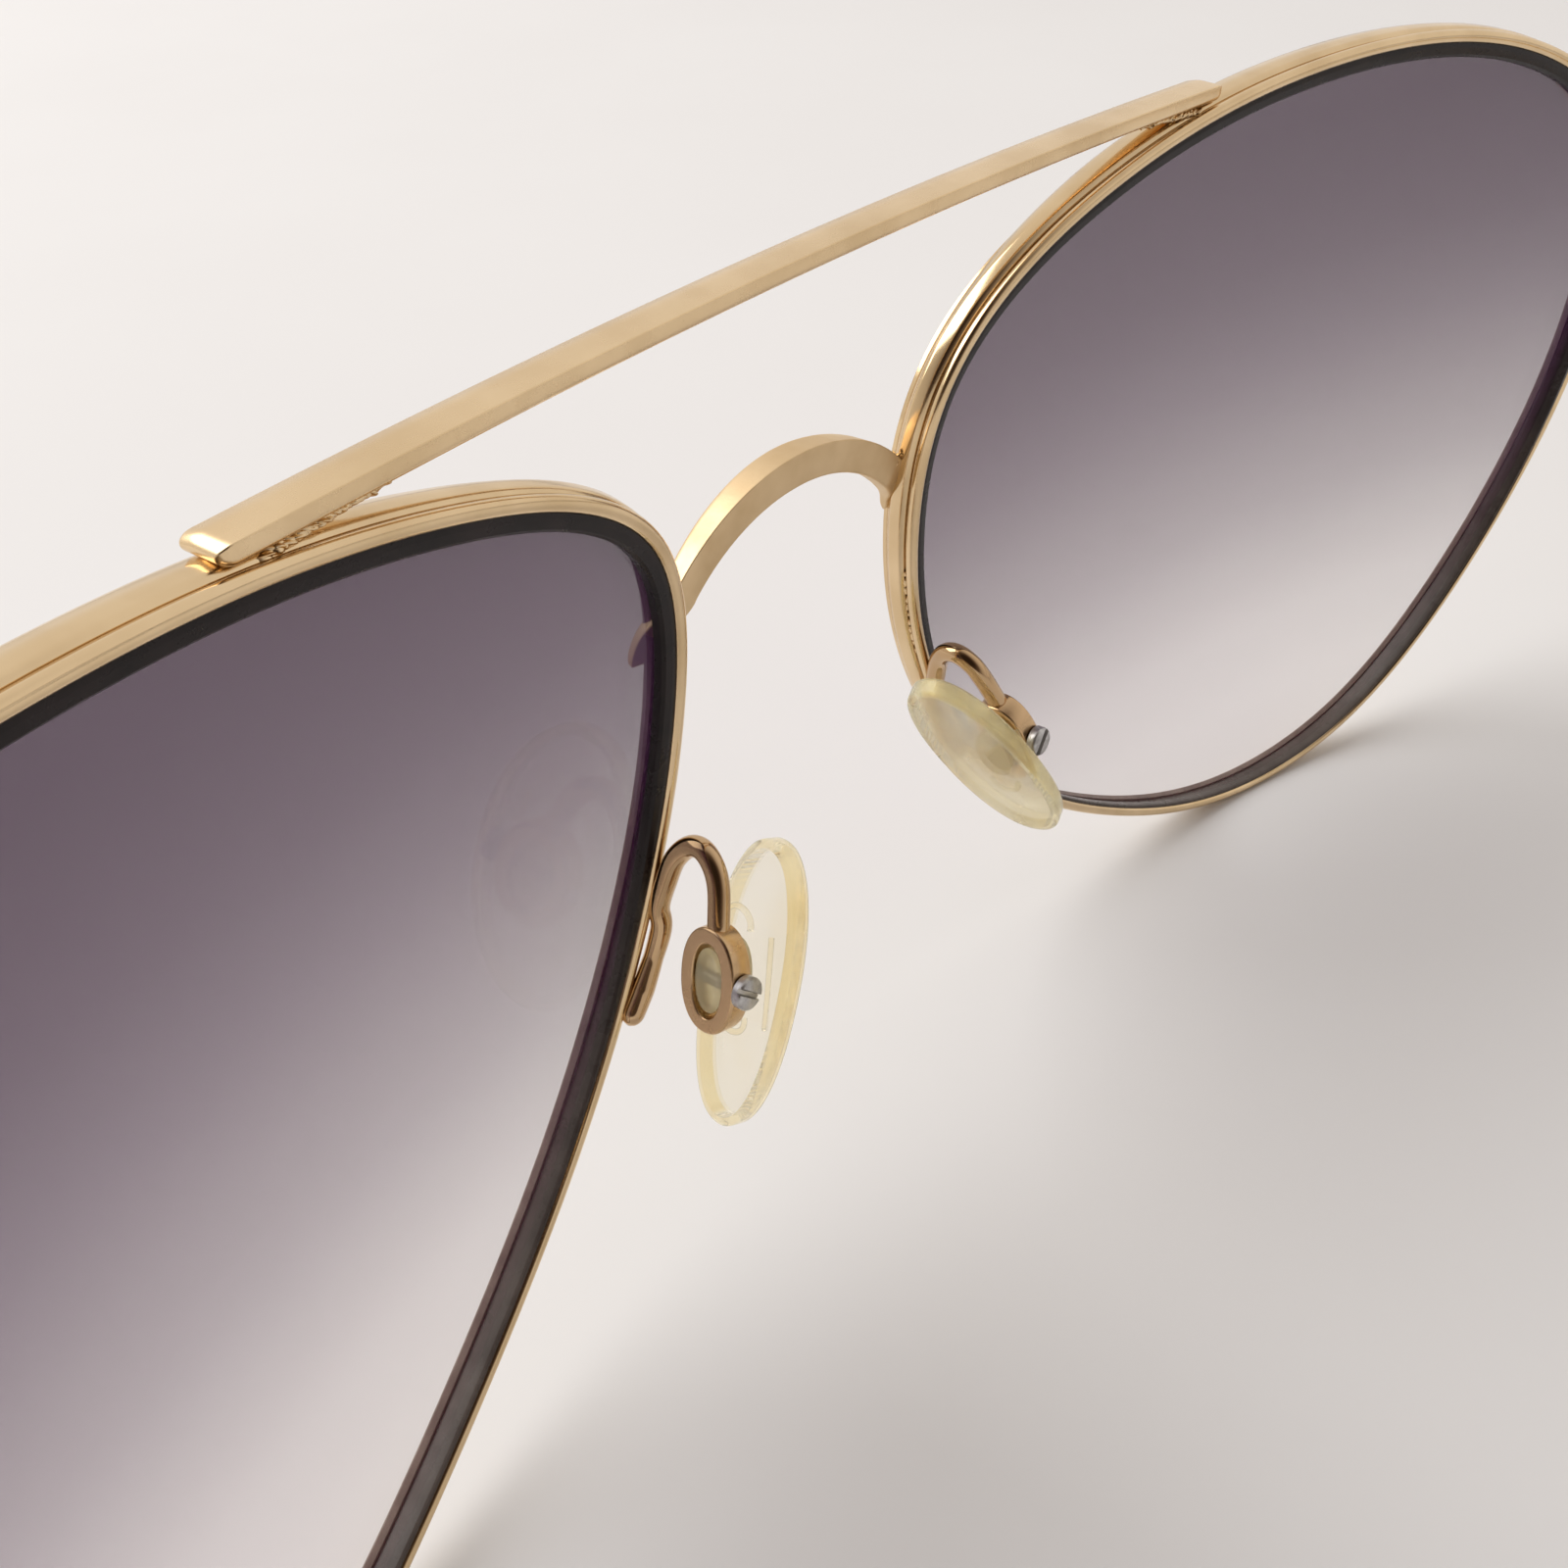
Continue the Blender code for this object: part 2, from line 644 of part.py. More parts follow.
def make_temple_side():
    side_x = float(np.interp(HINGE_Z, LOOP[:HINGE_AT + 3, 1], LOOP[:HINGE_AT + 3, 0])) + CX
    side_y = float(base_y(side_x, HINGE_Z))
    lean = Matrix.Rotation(math.radians(18.0), 4, "Z")
    half_h = HINGE_H / 2
    # closing block with its groove, and the screw that closes the rim
    bx = side_x + LIP_W + 1.35
    by = side_y - 0.75
    lock = block("rim_lock", (3.2, 2.9, 4.4), (bx, by, HINGE_Z - 0.6), lean, 0.25)
    lock = combine(lock, rim_keepout(True), "DIFFERENCE")
    gap = block("gap", (1.2, 6.0, 0.16), (bx + 1.6, by + 0.5, HINGE_Z - 2.35), lean)
    lock = combine(lock, gap, "DIFFERENCE")
    sx = bx + 0.55
    sy = by + 0.1
    well = lathe("well", [(0.0, -4.0), (0.86, -4.0), (0.86, 0.55), (PIN_R + FIT, 0.55),
                          (PIN_R + FIT, 4.0), (0.0, 4.0)], 18,
                 Matrix.Translation(Vector((sx, sy, HINGE_Z - 2.8)) * MM))
    lock = combine(lock, well, "DIFFERENCE")
    screw = lathe("rim_screw", [(0.0, 0.0), (0.66, 0.0), (0.80, 0.12), (0.80, 0.50), (PIN_R, 0.50),
                                (PIN_R, 3.6), (0.0, 3.6)], 18,
                  Matrix.Translation(Vector((sx, sy, HINGE_Z - 2.8)) * MM))
    slot = block("slot", (0.22, 4.0, 0.4), (sx, sy, HINGE_Z - 2.8 + 0.0))
    screw = combine(screw, slot, "DIFFERENCE")
    both(screw, "rim_screw", "steel")
    # end piece: flat strip bent back from the closing block to the hinge
    ex = side_x + 6.8
    face = bx + 1.9
    path = [(face - 0.35, by - 0.25, HINGE_Z), (face + 0.6, by + 0.15, HINGE_Z),
            (face + 1.35, by + 0.75, HINGE_Z), (ex - 0.30, by + 1.50, HINGE_Z),
            (ex, by + 2.5, HINGE_Z), (ex, by + 4.9, HINGE_Z)]
    t = TEMPLE_T / 2
    strip = [(t - 0.12, half_h), (t, half_h - 0.12), (t, -half_h + 0.12), (t - 0.12, -half_h),
             (-t + 0.12, -half_h), (-t, -half_h + 0.12), (-t, half_h - 0.12), (-t + 0.12, half_h)]
    piece = sweep("end_piece", path, strip)
    back = by + 4.9
    trim = block("trim", (3.2 + 2 * FIT, 2.9 + 2 * FIT, 4.4 + 2 * FIT), (bx, by, HINGE_Z - 0.6), lean)
    piece = combine(piece, trim, "DIFFERENCE")
    both(piece, "end_piece", "gold")
    both(lock, "rim_lock", "gold")
    # three-knuckle hinge
    hx = ex - t - FIT - 1.25
    hy = back + 0.7
    third = HINGE_H / 3
    z0 = HINGE_Z - half_h
    axis = (hx, hy, HINGE_Z)
    inner = ex - t - FIT

    def knuckle(name, low, high):
        return lathe(name, [(0.0, 0.0), (KNUCKLE_R, 0.0), (KNUCKLE_R, high - low), (0.0, high - low)],
                     20, Matrix.Translation(Vector((hx, hy, low)) * MM))

    leaf = block("hinge_front", (1.2, 1.6, HINGE_H), (inner - 0.6, hy - 2.05, HINGE_Z), None)
    for i, (low, high) in enumerate(((z0, z0 + third - FIT), (z0 + 2 * third + FIT, z0 + HINGE_H))):
        web = block("web", (1.2, 1.6, high - low), (inner - 0.6, hy - 0.75, (low + high) / 2))
        leaf = combine(leaf, web, "UNION")
        leaf = combine(leaf, knuckle("k%d" % i, low, high), "UNION")
    bore = rod("bore", PIN_R + FIT, (hx, hy, z0 - 2), (hx, hy, z0 + HINGE_H + 2), 18)
    leaf = combine(leaf, bore, "DIFFERENCE")
    both(leaf, "hinge_front", "gold")
    pin = lathe("hinge_screw", [(0.0, z0 - 0.35), (PIN_R - 0.1, z0 - 0.35), (PIN_R, z0 - 0.25),
                                (PIN_R, z0 + HINGE_H + FIT), (0.9, z0 + HINGE_H + FIT),
                                (0.9, z0 + HINGE_H + 0.35), (0.72, z0 + HINGE_H + 0.48),
                                (0.0, z0 + HINGE_H + 0.5)], 20,
                Matrix.Translation(Vector((hx, hy, 0)) * MM))
    slot = block("slot", (0.22, 4.0, 0.4), (hx, hy, z0 + HINGE_H + 0.5))
    pin = combine(pin, slot, "DIFFERENCE")
    both(pin, "hinge_screw", "steel")
    leaf = block("hinge_temple", (0.5, 2.6, HINGE_H), (inner - 0.25, hy + 2.3, HINGE_Z), None)
    low = z0 + third + FIT
    high = z0 + 2 * third - FIT
    web = block("web", (1.0, 1.5, high - low), (inner - 0.5, hy + 0.72, (low + high) / 2))
    leaf = combine(leaf, web, "UNION")
    leaf = combine(leaf, knuckle("k", low, high), "UNION")
    bore = rod("bore", PIN_R + FIT, (hx, hy, z0 - 2), (hx, hy, z0 + HINGE_H + 2), 18)
    leaf = combine(leaf, bore, "DIFFERENCE")
    both(leaf, "hinge_temple", "gold", axis)
    # temple: flat strip that narrows into a core wire
    front = back + 0.12
    wire_end = front + STRAIGHT
    stations = [front, front + 12, front + 26, front + 44, front + 60, wire_end]
    heights = [1.0, 0.97, 0.85, 0.62, 0.46, 0.44]
    bar = sweep("temple", [(ex, y, HINGE_Z) for y in stations], strip)
    for v in bar.data.vertices:
        y = v.co.y / MM
        k = float(np.interp(y, stations, heights))
        v.co.z = (HINGE_Z + (v.co.z / MM - HINGE_Z) * k) * MM
    both(bar, "temple", "gold", axis)
    # temple tip: plastic sleeve over the core wire, bent down behind the ear
    begin = front + STRAIGHT - 12.0
    path = [(0.0, begin, 0.0), (0.0, begin + 6, 0.0), (0.0, begin + 12.5, 0.0),
            (-0.1, begin + 18, -1.0), (-0.4, begin + 23, -3.4), (-0.9, begin + 28, -8.0),
            (-1.6, begin + 32, -13.8), (-2.4, begin + 35.5, -20.5), (-3.3, begin + 38.6, -27.8),
            (-4.0, begin + 41.0, FLOOR - HINGE_Z + 0.43)]
    size = [0.80, 0.92, 1.0, 1.02, 1.06, 1.12, 1.20, 1.30, 1.32, 1.02]
    sleeve = [(TIP_W / 2 * p, TIP_H / 2 * q) for p, q in oval(1.0, 1.0, 14, 2.4)]
    tip = sweep("temple_tip", [(ex + p[0], p[1], HINGE_Z + p[2]) for p in path], sleeve, False, size)
    core = block("core", (TEMPLE_T + 2 * FIT, 12.2 + 4, HINGE_H * 0.47 + 2 * FIT),
                 (ex, begin + 12.2 / 2 - 2, HINGE_Z))
    tip = combine(tip, core, "DIFFERENCE")
    both(tip, "temple_tip", "tip", axis)
    return axis


band = make_bands()
make_rims()
make_lenses()
make_bar()
bridge = make_bridge()
arm = make_arms()
both(arm, "pad_arm", "gold")
make_nose_parts()
make_temple_side()
both(band, "rim_band", "gold")
finish(bridge, "bridge", "gold")

# origin under the middle of the whole pair
depths = [(obj.matrix_basis @ v.co).y for obj in parts.objects for v in obj.data.vertices]
middle = (min(depths) + max(depths)) / 2
for obj in parts.objects:
    obj.location.y -= middle

for left in list(cutters.objects):
    left.hide_render = True
    left.display_type = "WIRE"
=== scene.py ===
"""Aviator sunglasses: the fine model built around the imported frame.

Each CAD node gets a smooth, detailed piece in the same place.  Lengths are in millimetres
in the drawing frame of the glasses: x = 0 and y = 0 at the bridge, z = 0 at the middle of
the lens openings, the lenses facing -Y and the temples running back along +Y.  metres()
turns them into the row's frame.  Left pieces are built first and mirrored for the right.
"""
import json
import math
import bmesh
import bpy
import numpy as np
from mathutils import Matrix, Vector


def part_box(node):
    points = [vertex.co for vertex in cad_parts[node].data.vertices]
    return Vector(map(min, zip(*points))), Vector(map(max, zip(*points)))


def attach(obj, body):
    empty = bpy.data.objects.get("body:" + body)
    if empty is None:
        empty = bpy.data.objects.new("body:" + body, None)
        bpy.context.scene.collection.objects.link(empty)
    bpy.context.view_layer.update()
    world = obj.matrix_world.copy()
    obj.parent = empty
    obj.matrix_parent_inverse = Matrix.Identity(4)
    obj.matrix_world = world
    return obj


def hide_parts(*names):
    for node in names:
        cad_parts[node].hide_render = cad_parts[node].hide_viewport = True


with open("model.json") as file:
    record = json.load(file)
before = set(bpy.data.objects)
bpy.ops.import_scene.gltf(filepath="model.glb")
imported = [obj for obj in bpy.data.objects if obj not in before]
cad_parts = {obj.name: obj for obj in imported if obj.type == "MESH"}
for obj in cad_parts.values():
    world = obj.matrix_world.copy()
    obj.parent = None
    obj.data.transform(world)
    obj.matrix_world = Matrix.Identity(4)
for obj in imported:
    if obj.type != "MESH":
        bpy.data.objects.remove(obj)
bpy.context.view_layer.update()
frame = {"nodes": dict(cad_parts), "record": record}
MM = 0.001

# lens openings and rims
LENS_W = 58.0          # opening width
LENS_H = 49.0          # opening height
HALF_GAP = 8.2         # middle plane to the nearest point of an opening
WRAP = 0.217           # slope of each lens toward the temple
BASE_R = 120.0         # radius of the lens surface
LIP_W = 0.64           # back lip of the channel wire, outward
LIP_T = 0.30           # and its thickness
WALL_N = 0.42          # outer face of the channel wall, from the opening
WIRE_D = 1.80          # depth of the channel wire
LINER_W = 0.70         # inward reach of the liner over the brow
LINER_SLIM = 0.17      # and along the lower rim
LENS_SET = 0.62        # back of the lens below the back lip
LENS_T = 0.80          # lens thickness
RIM_STEPS = 320        # stations round an opening
DRAWN_W = 58.0         # size at which the landmarks are drawn
DRAWN_H = 49.0
LANDMARKS = (
    (31.0, 5.0), (27.0, 16.0), (18.0, 22.0), (-1.5, 24.5), (-16.0, 22.0),
    (-25.5, 16.0), (-26.5, 8.0), (-24.5, 0.0), (-17.0, -12.0), (-7.0, -20.0),
    (5.0, -24.5), (16.0, -23.0), (26.5, -13.0),
)
BAND_DEPTH = 2.30      # outer band, over the brow
BAND_EASE = 0.55       # how much shallower it gets beside the nose
BAND_N = 0.80          # outward reach of the band's crown

# brow bar and bridge
BAR_HALF = 26.8        # half length
BAR_W = 2.0            # front to back
BAR_T = 0.72           # height
BAR_TOP = 0.6          # top face above the openings
BAR_BOW = 263.0        # radius of its bow
BAR_BACK = -0.78       # back edge at the middle plane
BRIDGE_Z = 15.1        # crown of the arch
BRIDGE_H = 1.5         # thickness of the arch, up and down
BRIDGE_D = 1.55        # front to back at the crown
BRIDGE_Y = -3.8        # middle of its depth
BRIDGE_R = 9.66        # radius of the arch
BRIDGE_SPAN = 6.9      # half width of the round part

# nose pads
ARM_R = 0.5            # radius of the arm wire
BOX_C = (11.24, 1.64, -2.96)
BOX_LONG = (-0.323, -0.165, 0.932)
BOX_ACROSS = (0.946, -0.046, 0.320)
BOX_A = 2.50           # half length of the oval box
BOX_B = 1.58           # half width
BOX_T = 1.20           # depth
BOX_WALL = 0.72        # wall thickness
PAD_A = 6.95           # half length of the pad
PAD_B = 2.75           # half width
PAD_T = 0.98           # thickness
EDGE_W = 0.42          # width of the rolled edge
# each pad: centre, axis across the plate, long axis, and side; the two sit a little differently
PADS = {
    "L": ((9.77, 2.29, -4.19), (0.896, -0.211, 0.391), (-0.414, -0.077, 0.907), 1),
    "R": ((9.76, 1.47, -3.92), (0.869, -0.242, 0.432), (-0.487, -0.26, 0.834), -1),
}

# hinges and temples
HINGE_Z = 12.4 * LENS_H / DRAWN_H      # middle height of end pieces and hinges
HINGE_H = 3.2          # height of leaves and knuckles
HINGE_GAP = 0.06       # between knuckles
KNUCKLE_R = 1.1
PIN_R = 0.45           # hinge screw and rim screw
PIN_INSET = 1.25       # pin axis to the temple's inner face
TEMPLE_OUT = 6.8       # rim to the middle of the temple
TEMPLE_T = 1.1         # thickness of the temple strip
STRAIGHT = 88.0        # its length
LAP = 12.0             # how much of it the tip covers
FIT = 0.05             # gap between close pieces


# ---------------------------------------------------------------- lens outline and frame
def smooth_loop(points, count):
    """Closed cubic through the points, resampled at even steps."""
    pts = np.array(points, float)
    n = len(pts)
    step = np.linalg.norm(np.roll(pts, -1, 0) - pts, axis=1)
    system = np.zeros((n, n))
    rhs = np.zeros((n, 2))
    for i in range(n):
        h0 = step[i - 1]
        h1 = step[i]
        system[i, i - 1] += h0
        system[i, i] += 2.0 * (h0 + h1)
        system[i, (i + 1) % n] += h1
        rhs[i] = 6.0 * ((pts[(i + 1) % n] - pts[i]) / h1 - (pts[i] - pts[i - 1]) / h0)
    curv = np.linalg.solve(system, rhs)
    fine = []
    for i in range(n):
        h = step[i]
        a, b = pts[i], pts[(i + 1) % n]
        ma, mb = curv[i], curv[(i + 1) % n]
        for u in np.linspace(0.0, h, 60, endpoint=False):
            v = h - u
            p = ma * v ** 3 / (6 * h) + mb * u ** 3 / (6 * h)
            fine.append(p + (a / h - ma * h / 6) * v + (b / h - mb * h / 6) * u)
    fine = np.array(fine)
    closed = np.vstack([fine, fine[:1]])
    run = np.concatenate([[0.0], np.cumsum(np.linalg.norm(np.diff(closed, axis=0), axis=1))])
    want = np.linspace(0.0, run[-1], count, endpoint=False)
    return np.stack([np.interp(want, run, closed[:, k]) for k in (0, 1)], 1)


LOOP = smooth_loop([(u * LENS_W / DRAWN_W, v * LENS_H / DRAWN_H) for u, v in LANDMARKS], RIM_STEPS)
ALONG = np.roll(LOOP, -1, 0) - np.roll(LOOP, 1, 0)
ALONG /= np.linalg.norm(ALONG, axis=1)[:, None]
NORMAL = np.stack([ALONG[:, 1], -ALONG[:, 0]], 1)
CX = HALF_GAP - LOOP[:, 0].min()
TOP_Z = LOOP[:, 1].max()
LOW_Z = LOOP[:, 1].min() - LIP_W

# where the drawing frame sits in the row's frame, and the hinge pin in the drawing frame
eye_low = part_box("eyewire_L")[0]
bar_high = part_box("brow_bar")[1]
pin_low, pin_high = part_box("hinge_screw_L")
Y0 = bar_high.y / MM - (BAR_BACK + BAR_HALF ** 2 / (2 * BAR_BOW))
Z0 = eye_low.z / MM - LOW_Z
PIN_X = (pin_low[0] + pin_high[0]) / 2 / MM
PIN_Y = (pin_low[1] + pin_high[1]) / 2 / MM - Y0


def metres(points):
    """Drawing-frame millimetres to metres in the row's frame."""
    pts = np.asarray(points, float).copy()
    pts[..., 1] += Y0
    pts[..., 2] += Z0
    return pts * MM


def base_y(x, z):
    """Back surface of the lens opening."""
    dx = x - CX
    return WRAP * dx + (dx * dx + z * z) / (2.0 * BASE_R)


def rim_point(i, n, b):
    """Point at loop station i, n outward and b back of the lip edge."""
    i %= RIM_STEPS
    x, z = CX + LOOP[i, 0], LOOP[i, 1]
    return (x + n * NORMAL[i, 0], base_y(x, z) + b, z + n * NORMAL[i, 1])


def nearest_station(dx, z):
    """Station of the opening nearest to a point given from the lens centre."""
    return int(np.argmin(np.linalg.norm(LOOP - np.array((dx, z)), axis=1)))


# ---------------------------------------------------------------- mesh makers
def mesh_piece(name, verts, faces, body, mat, sharp=40.0):
    """Object from mm vertices; faces are turned outward and shaded smooth up to an angle."""
    mesh = bpy.data.meshes.new(name)
    mesh.from_pydata([tuple(v) for v in metres(verts)], [], faces)
    bm = bmesh.new()
    bm.from_mesh(mesh)
    bmesh.ops.recalc_face_normals(bm, faces=bm.faces)
    bm.to_mesh(mesh)
    bm.free()
    mesh.shade_smooth()
    mesh.set_sharp_from_angle(angle=math.radians(sharp))
    mesh.materials.append(mat)
    obj = bpy.data.objects.new(name, mesh)
    bpy.context.scene.collection.objects.link(obj)
    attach(obj, body)
    return obj


def skin(rings, closed=False):
    """Vertices and faces of a skin over rings of equal length, capped unless it is closed."""
    rings = np.asarray(rings, float)
    n, m = rings.shape[:2]
    faces = []
    for i in range(n if closed else n - 1):
        a, b = i * m, ((i + 1) % n) * m
        for j in range(m):
            k = (j + 1) % m
            faces.append((a + j, a + k, b + k, b + j))
    if not closed:
        faces.append(tuple(range(m)))
        faces.append(tuple((n - 1) * m + j for j in range(m))[::-1])
    return rings.reshape(-1, 3), faces


def both_sides(stem, verts, faces, bodies, mat, sharp=40.0, slot=None):
    """Left piece and its mirror image; unless a slot is given, each replaces the node of that name,
    which is hidden.
    """
    for side, tag, body in ((1, "L", bodies[0]), (-1, "R", bodies[1])):
        pts = np.asarray(verts, float) * (side, 1, 1)
        obj = mesh_piece("fine_%s_%s" % (stem, tag), pts, faces, body, mat, sharp)
        if slot:
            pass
        else:
            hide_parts("%s_%s" % (stem, tag))


def joined(*shapes):
    """Several vertex and face lists as one."""
    verts, faces, base = [], [], 0
    for v, f in shapes:
        verts.extend(np.asarray(v, float))
        faces.extend(tuple(i + base for i in face) for face in f)
        base += len(v)
    return np.array(verts), faces


def filleted(corners, steps=4):
    """Closed outline with each corner (x, y, radius) rounded."""
    out = []
    count = len(corners)
    for i in range(count):
        p = np.array(corners[i][:2])
        a = np.array(corners[i - 1][:2]) - p
        b = np.array(corners[(i + 1) % count][:2]) - p
        la, lb = np.linalg.norm(a), np.linalg.norm(b)
        a, b = a / la, b / lb
        turn = math.acos(max(-1.0, min(1.0, float(a @ b))))
        reach = min(corners[i][2] / math.tan(turn / 2), 0.49 * la, 0.49 * lb)
        if reach < 1e-4:
            out.append(p)
            continue
        radius = reach * math.tan(turn / 2)
        centre = p + (a + b) / np.linalg.norm(a + b) * radius / math.sin(turn / 2)
        start, end = p + a * reach - centre, p + b * reach - centre
        swing = math.atan2(start[0] * end[1] - start[1] * end[0], float(start @ end))
        for t in np.linspace(0.0, swing, steps + 1):
            c, s = math.cos(t), math.sin(t)
            out.append(centre + np.array((start[0] * c - start[1] * s, start[0] * s + start[1] * c)))
    return np.array(out)


def spline(points, count):
    """Smooth open curve through the points (Catmull-Rom), evenly resampled."""
    pts = np.array(points, float)
    ends = np.vstack([2 * pts[0] - pts[1], pts, 2 * pts[-1] - pts[-2]])
    fine = []
    for i in range(1, len(ends) - 2):
        p0, p1, p2, p3 = ends[i - 1:i + 3]
        for t in np.linspace(0.0, 1.0, 40, endpoint=False):
            fine.append(0.5 * (2 * p1 + (p2 - p0) * t + (2 * p0 - 5 * p1 + 4 * p2 - p3) * t * t
                               + (3 * p1 - p0 - 3 * p2 + p3) * t ** 3))
    fine.append(ends[-2])
    fine = np.array(fine)
    run = np.concatenate([[0.0], np.cumsum(np.linalg.norm(np.diff(fine, axis=0), axis=1))])
    want = np.linspace(0.0, run[-1], count)
    return np.stack([np.interp(want, run, fine[:, k]) for k in range(fine.shape[1])], 1)


def directions(path):
    """Unit direction at each point of a path."""
    along = np.gradient(path, axis=0)
    return along / np.linalg.norm(along, axis=1)[:, None]


def carried(path, side0):
    """Side vectors along a path, turned as little as possible."""
    along = directions(path)
    side = np.array(side0, float)
    out = []
    for t in along:
        side = side - t * (side @ t)
        side = side / np.linalg.norm(side)
        out.append(side.copy())
    return along, np.array(out)


def tube(path, radii, side0=(0, 0, 1), sides=28, flat=1.0):
    """Round tube along a path; flat squeezes it across the side vector."""
    along, side = carried(path, side0)
    rings = []
    for p, t, s, r in zip(path, along, side, np.broadcast_to(radii, len(path))):
        o = np.cross(t, s)
        ring = [p + r * (math.cos(a) * s + flat * math.sin(a) * o)
                for a in np.linspace(0, 2 * math.pi, sides, endpoint=False)]
        rings.append(ring)
    return skin(rings)


def domed(radius, length, steps=6):
    """Distances along a rod and how far its outline draws in, for two rounded ends."""
    arc = np.linspace(0.0, math.pi / 2, steps + 1)
    run = radius * (1 - np.cos(arc))
    draw = radius * (1 - np.sin(arc))
    middle = np.linspace(run[-1] * 1.5, length - run[-1] * 1.5, 60)[1:-1]
    inset = np.concatenate([draw, np.zeros(len(middle)), draw[::-1]])
    at = np.concatenate([run * 1.5, middle, length - run[::-1] * 1.5])
    return at, inset


def lathe(profile, frame_matrix, steps=48):
    """(radius, height) profile turned about the frame's z axis, closed on the axis."""
    rings = []
    for r, h in profile:
        rings.append([frame_matrix @ Vector((r * math.cos(a), r * math.sin(a), h))
                      for a in np.linspace(0, 2 * math.pi, steps, endpoint=False)])
    return skin([[tuple(p) for p in ring] for ring in rings])


def axes_frame(centre, long_axis, across):
    """Frame whose z is the axis 'across' and whose x follows the long axis."""
    z = Vector(across).normalized()
    x = Vector(long_axis)
    x = (x - z * x.dot(z)).normalized()
    turn = Matrix((x, z.cross(x), z)).transposed().to_4x4()
    return Matrix.Translation(Vector(centre)) @ turn


def on_oval(a, b, t, power):
    """Point at angle t on an oval; a power over 2 makes it squarer than an ellipse."""
    c, s = math.cos(t), math.sin(t)
    return (a * math.copysign(abs(c) ** (2 / power), c),
            b * math.copysign(abs(s) ** (2 / power), s))


def oval(a, b, count, power=2.2):
    """Outline of an oval with half lengths a and b."""
    return np.array([on_oval(a, b, t, power)
                     for t in np.linspace(0, 2 * math.pi, count, endpoint=False)])


# ---------------------------------------------------------------- materials
def fill_ramp(node, stops):
    """Put (position, colour) stops on a colour ramp node."""
    marks = node.color_ramp.elements
    while len(marks) < len(stops):
        marks.new(0.5)
    for mark, (at, colour) in zip(marks, stops):
        mark.position = at
        mark.color = (*colour, 1.0)


class Mat:
    """Small helper around a Principled node tree."""

    def __init__(self, name):
        self.mat = bpy.data.materials.new(name)
        self.mat.use_nodes = True
        self.tree = self.mat.node_tree
        self.shader = self.tree.nodes["Principled BSDF"]
        self.where = self.tree.nodes.new("ShaderNodeTexCoord").outputs["Object"]

    def set(self, **values):
        """Constants on the shader's own sockets."""
        for key, value in values.items():
            self.shader.inputs[key.replace("_", " ")].default_value = value

    def node(self, kind, **values):
        """New node with properties or input constants by name."""
        made = self.tree.nodes.new(kind)
        for key, value in values.items():
            if hasattr(made, key):
                setattr(made, key, value)
            else:
                made.inputs[key].default_value = value
        return made

    def link(self, out, into):
        self.tree.links.new(out, into)

    def noise(self, scale, detail=4.0, rough=0.55, stretch=None):
        """Noise in object space, about 0.3 to 0.7."""
        made = self.node("ShaderNodeTexNoise", Scale=scale, Detail=detail, Roughness=rough)
        source = self.where
        if stretch:
            mapping = self.node("ShaderNodeMapping")
            mapping.inputs["Scale"].default_value = stretch
            self.link(source, mapping.inputs["Vector"])
            source = mapping.outputs[0]
        self.link(source, made.inputs["Vector"])
        return made.outputs["Fac"]

    def ramp(self, fac, stops):
        """Colours by position along a value."""
        made = self.node("ShaderNodeValToRGB")
        fill_ramp(made, stops)
        self.link(fac, made.inputs["Fac"])
        return made.outputs["Color"]

    def spread(self, fac, low, high):
        """A noise value stretched to run from low to high."""
        made = self.node("ShaderNodeMapRange")
        made.inputs["From Min"].default_value = 0.3
        made.inputs["From Max"].default_value = 0.7
        made.inputs["To Min"].default_value = low
        made.inputs["To Max"].default_value = high
        self.link(fac, made.inputs["Value"])
        return made.outputs["Result"]

    def rise(self, low, high):
        """0 to 1 between two heights in mm."""
        split = self.node("ShaderNodeSeparateXYZ")
        self.link(self.where, split.inputs[0])
        height = self.node("ShaderNodeMapRange")
        height.inputs["From Min"].default_value = float(low * MM)
        height.inputs["From Max"].default_value = float(high * MM)
        self.link(split.outputs["Z"], height.inputs["Value"])
        return height.outputs["Result"]

    def bump(self, height, strength, distance):
        """Fine relief on the shader's normal; distance in metres."""
        made = self.node("ShaderNodeBump", Strength=strength, Distance=distance)
        self.link(height, made.inputs["Height"])
        self.link(made.outputs["Normal"], self.shader.inputs["Normal"])


GOLD_PALE = (0.86, 0.655, 0.40)
GOLD_DEEP = (0.75, 0.555, 0.32)


def gold(name, rough, tint, grain, grain_scale=2600.0, red_shift=0.0):
    """Pale plated gold with satin grain and faint drift; tint darkens it and the last argument reddens
    it, which on the arm wire is painted shade.
    """
    m = Mat(name)
    m.set(Metallic=1.0)
    drift = m.noise(260.0, 3.0)
    shade = (tint, tint * (1 - 0.5 * red_shift), tint * (1 - 0.8 * red_shift))
    pale = tuple(c * k for c, k in zip(GOLD_PALE, shade))
    deep = tuple(c * k for c, k in zip(GOLD_DEEP, shade))
    m.link(m.ramp(drift, [(0.35, pale), (0.65, deep)]), m.shader.inputs["Base Color"])
    m.link(m.spread(m.noise(520.0, 5.0, 0.65), *rough), m.shader.inputs["Roughness"])
    m.bump(m.noise(grain_scale, 3.0, 0.7), grain, 0.00002)
    return m.mat


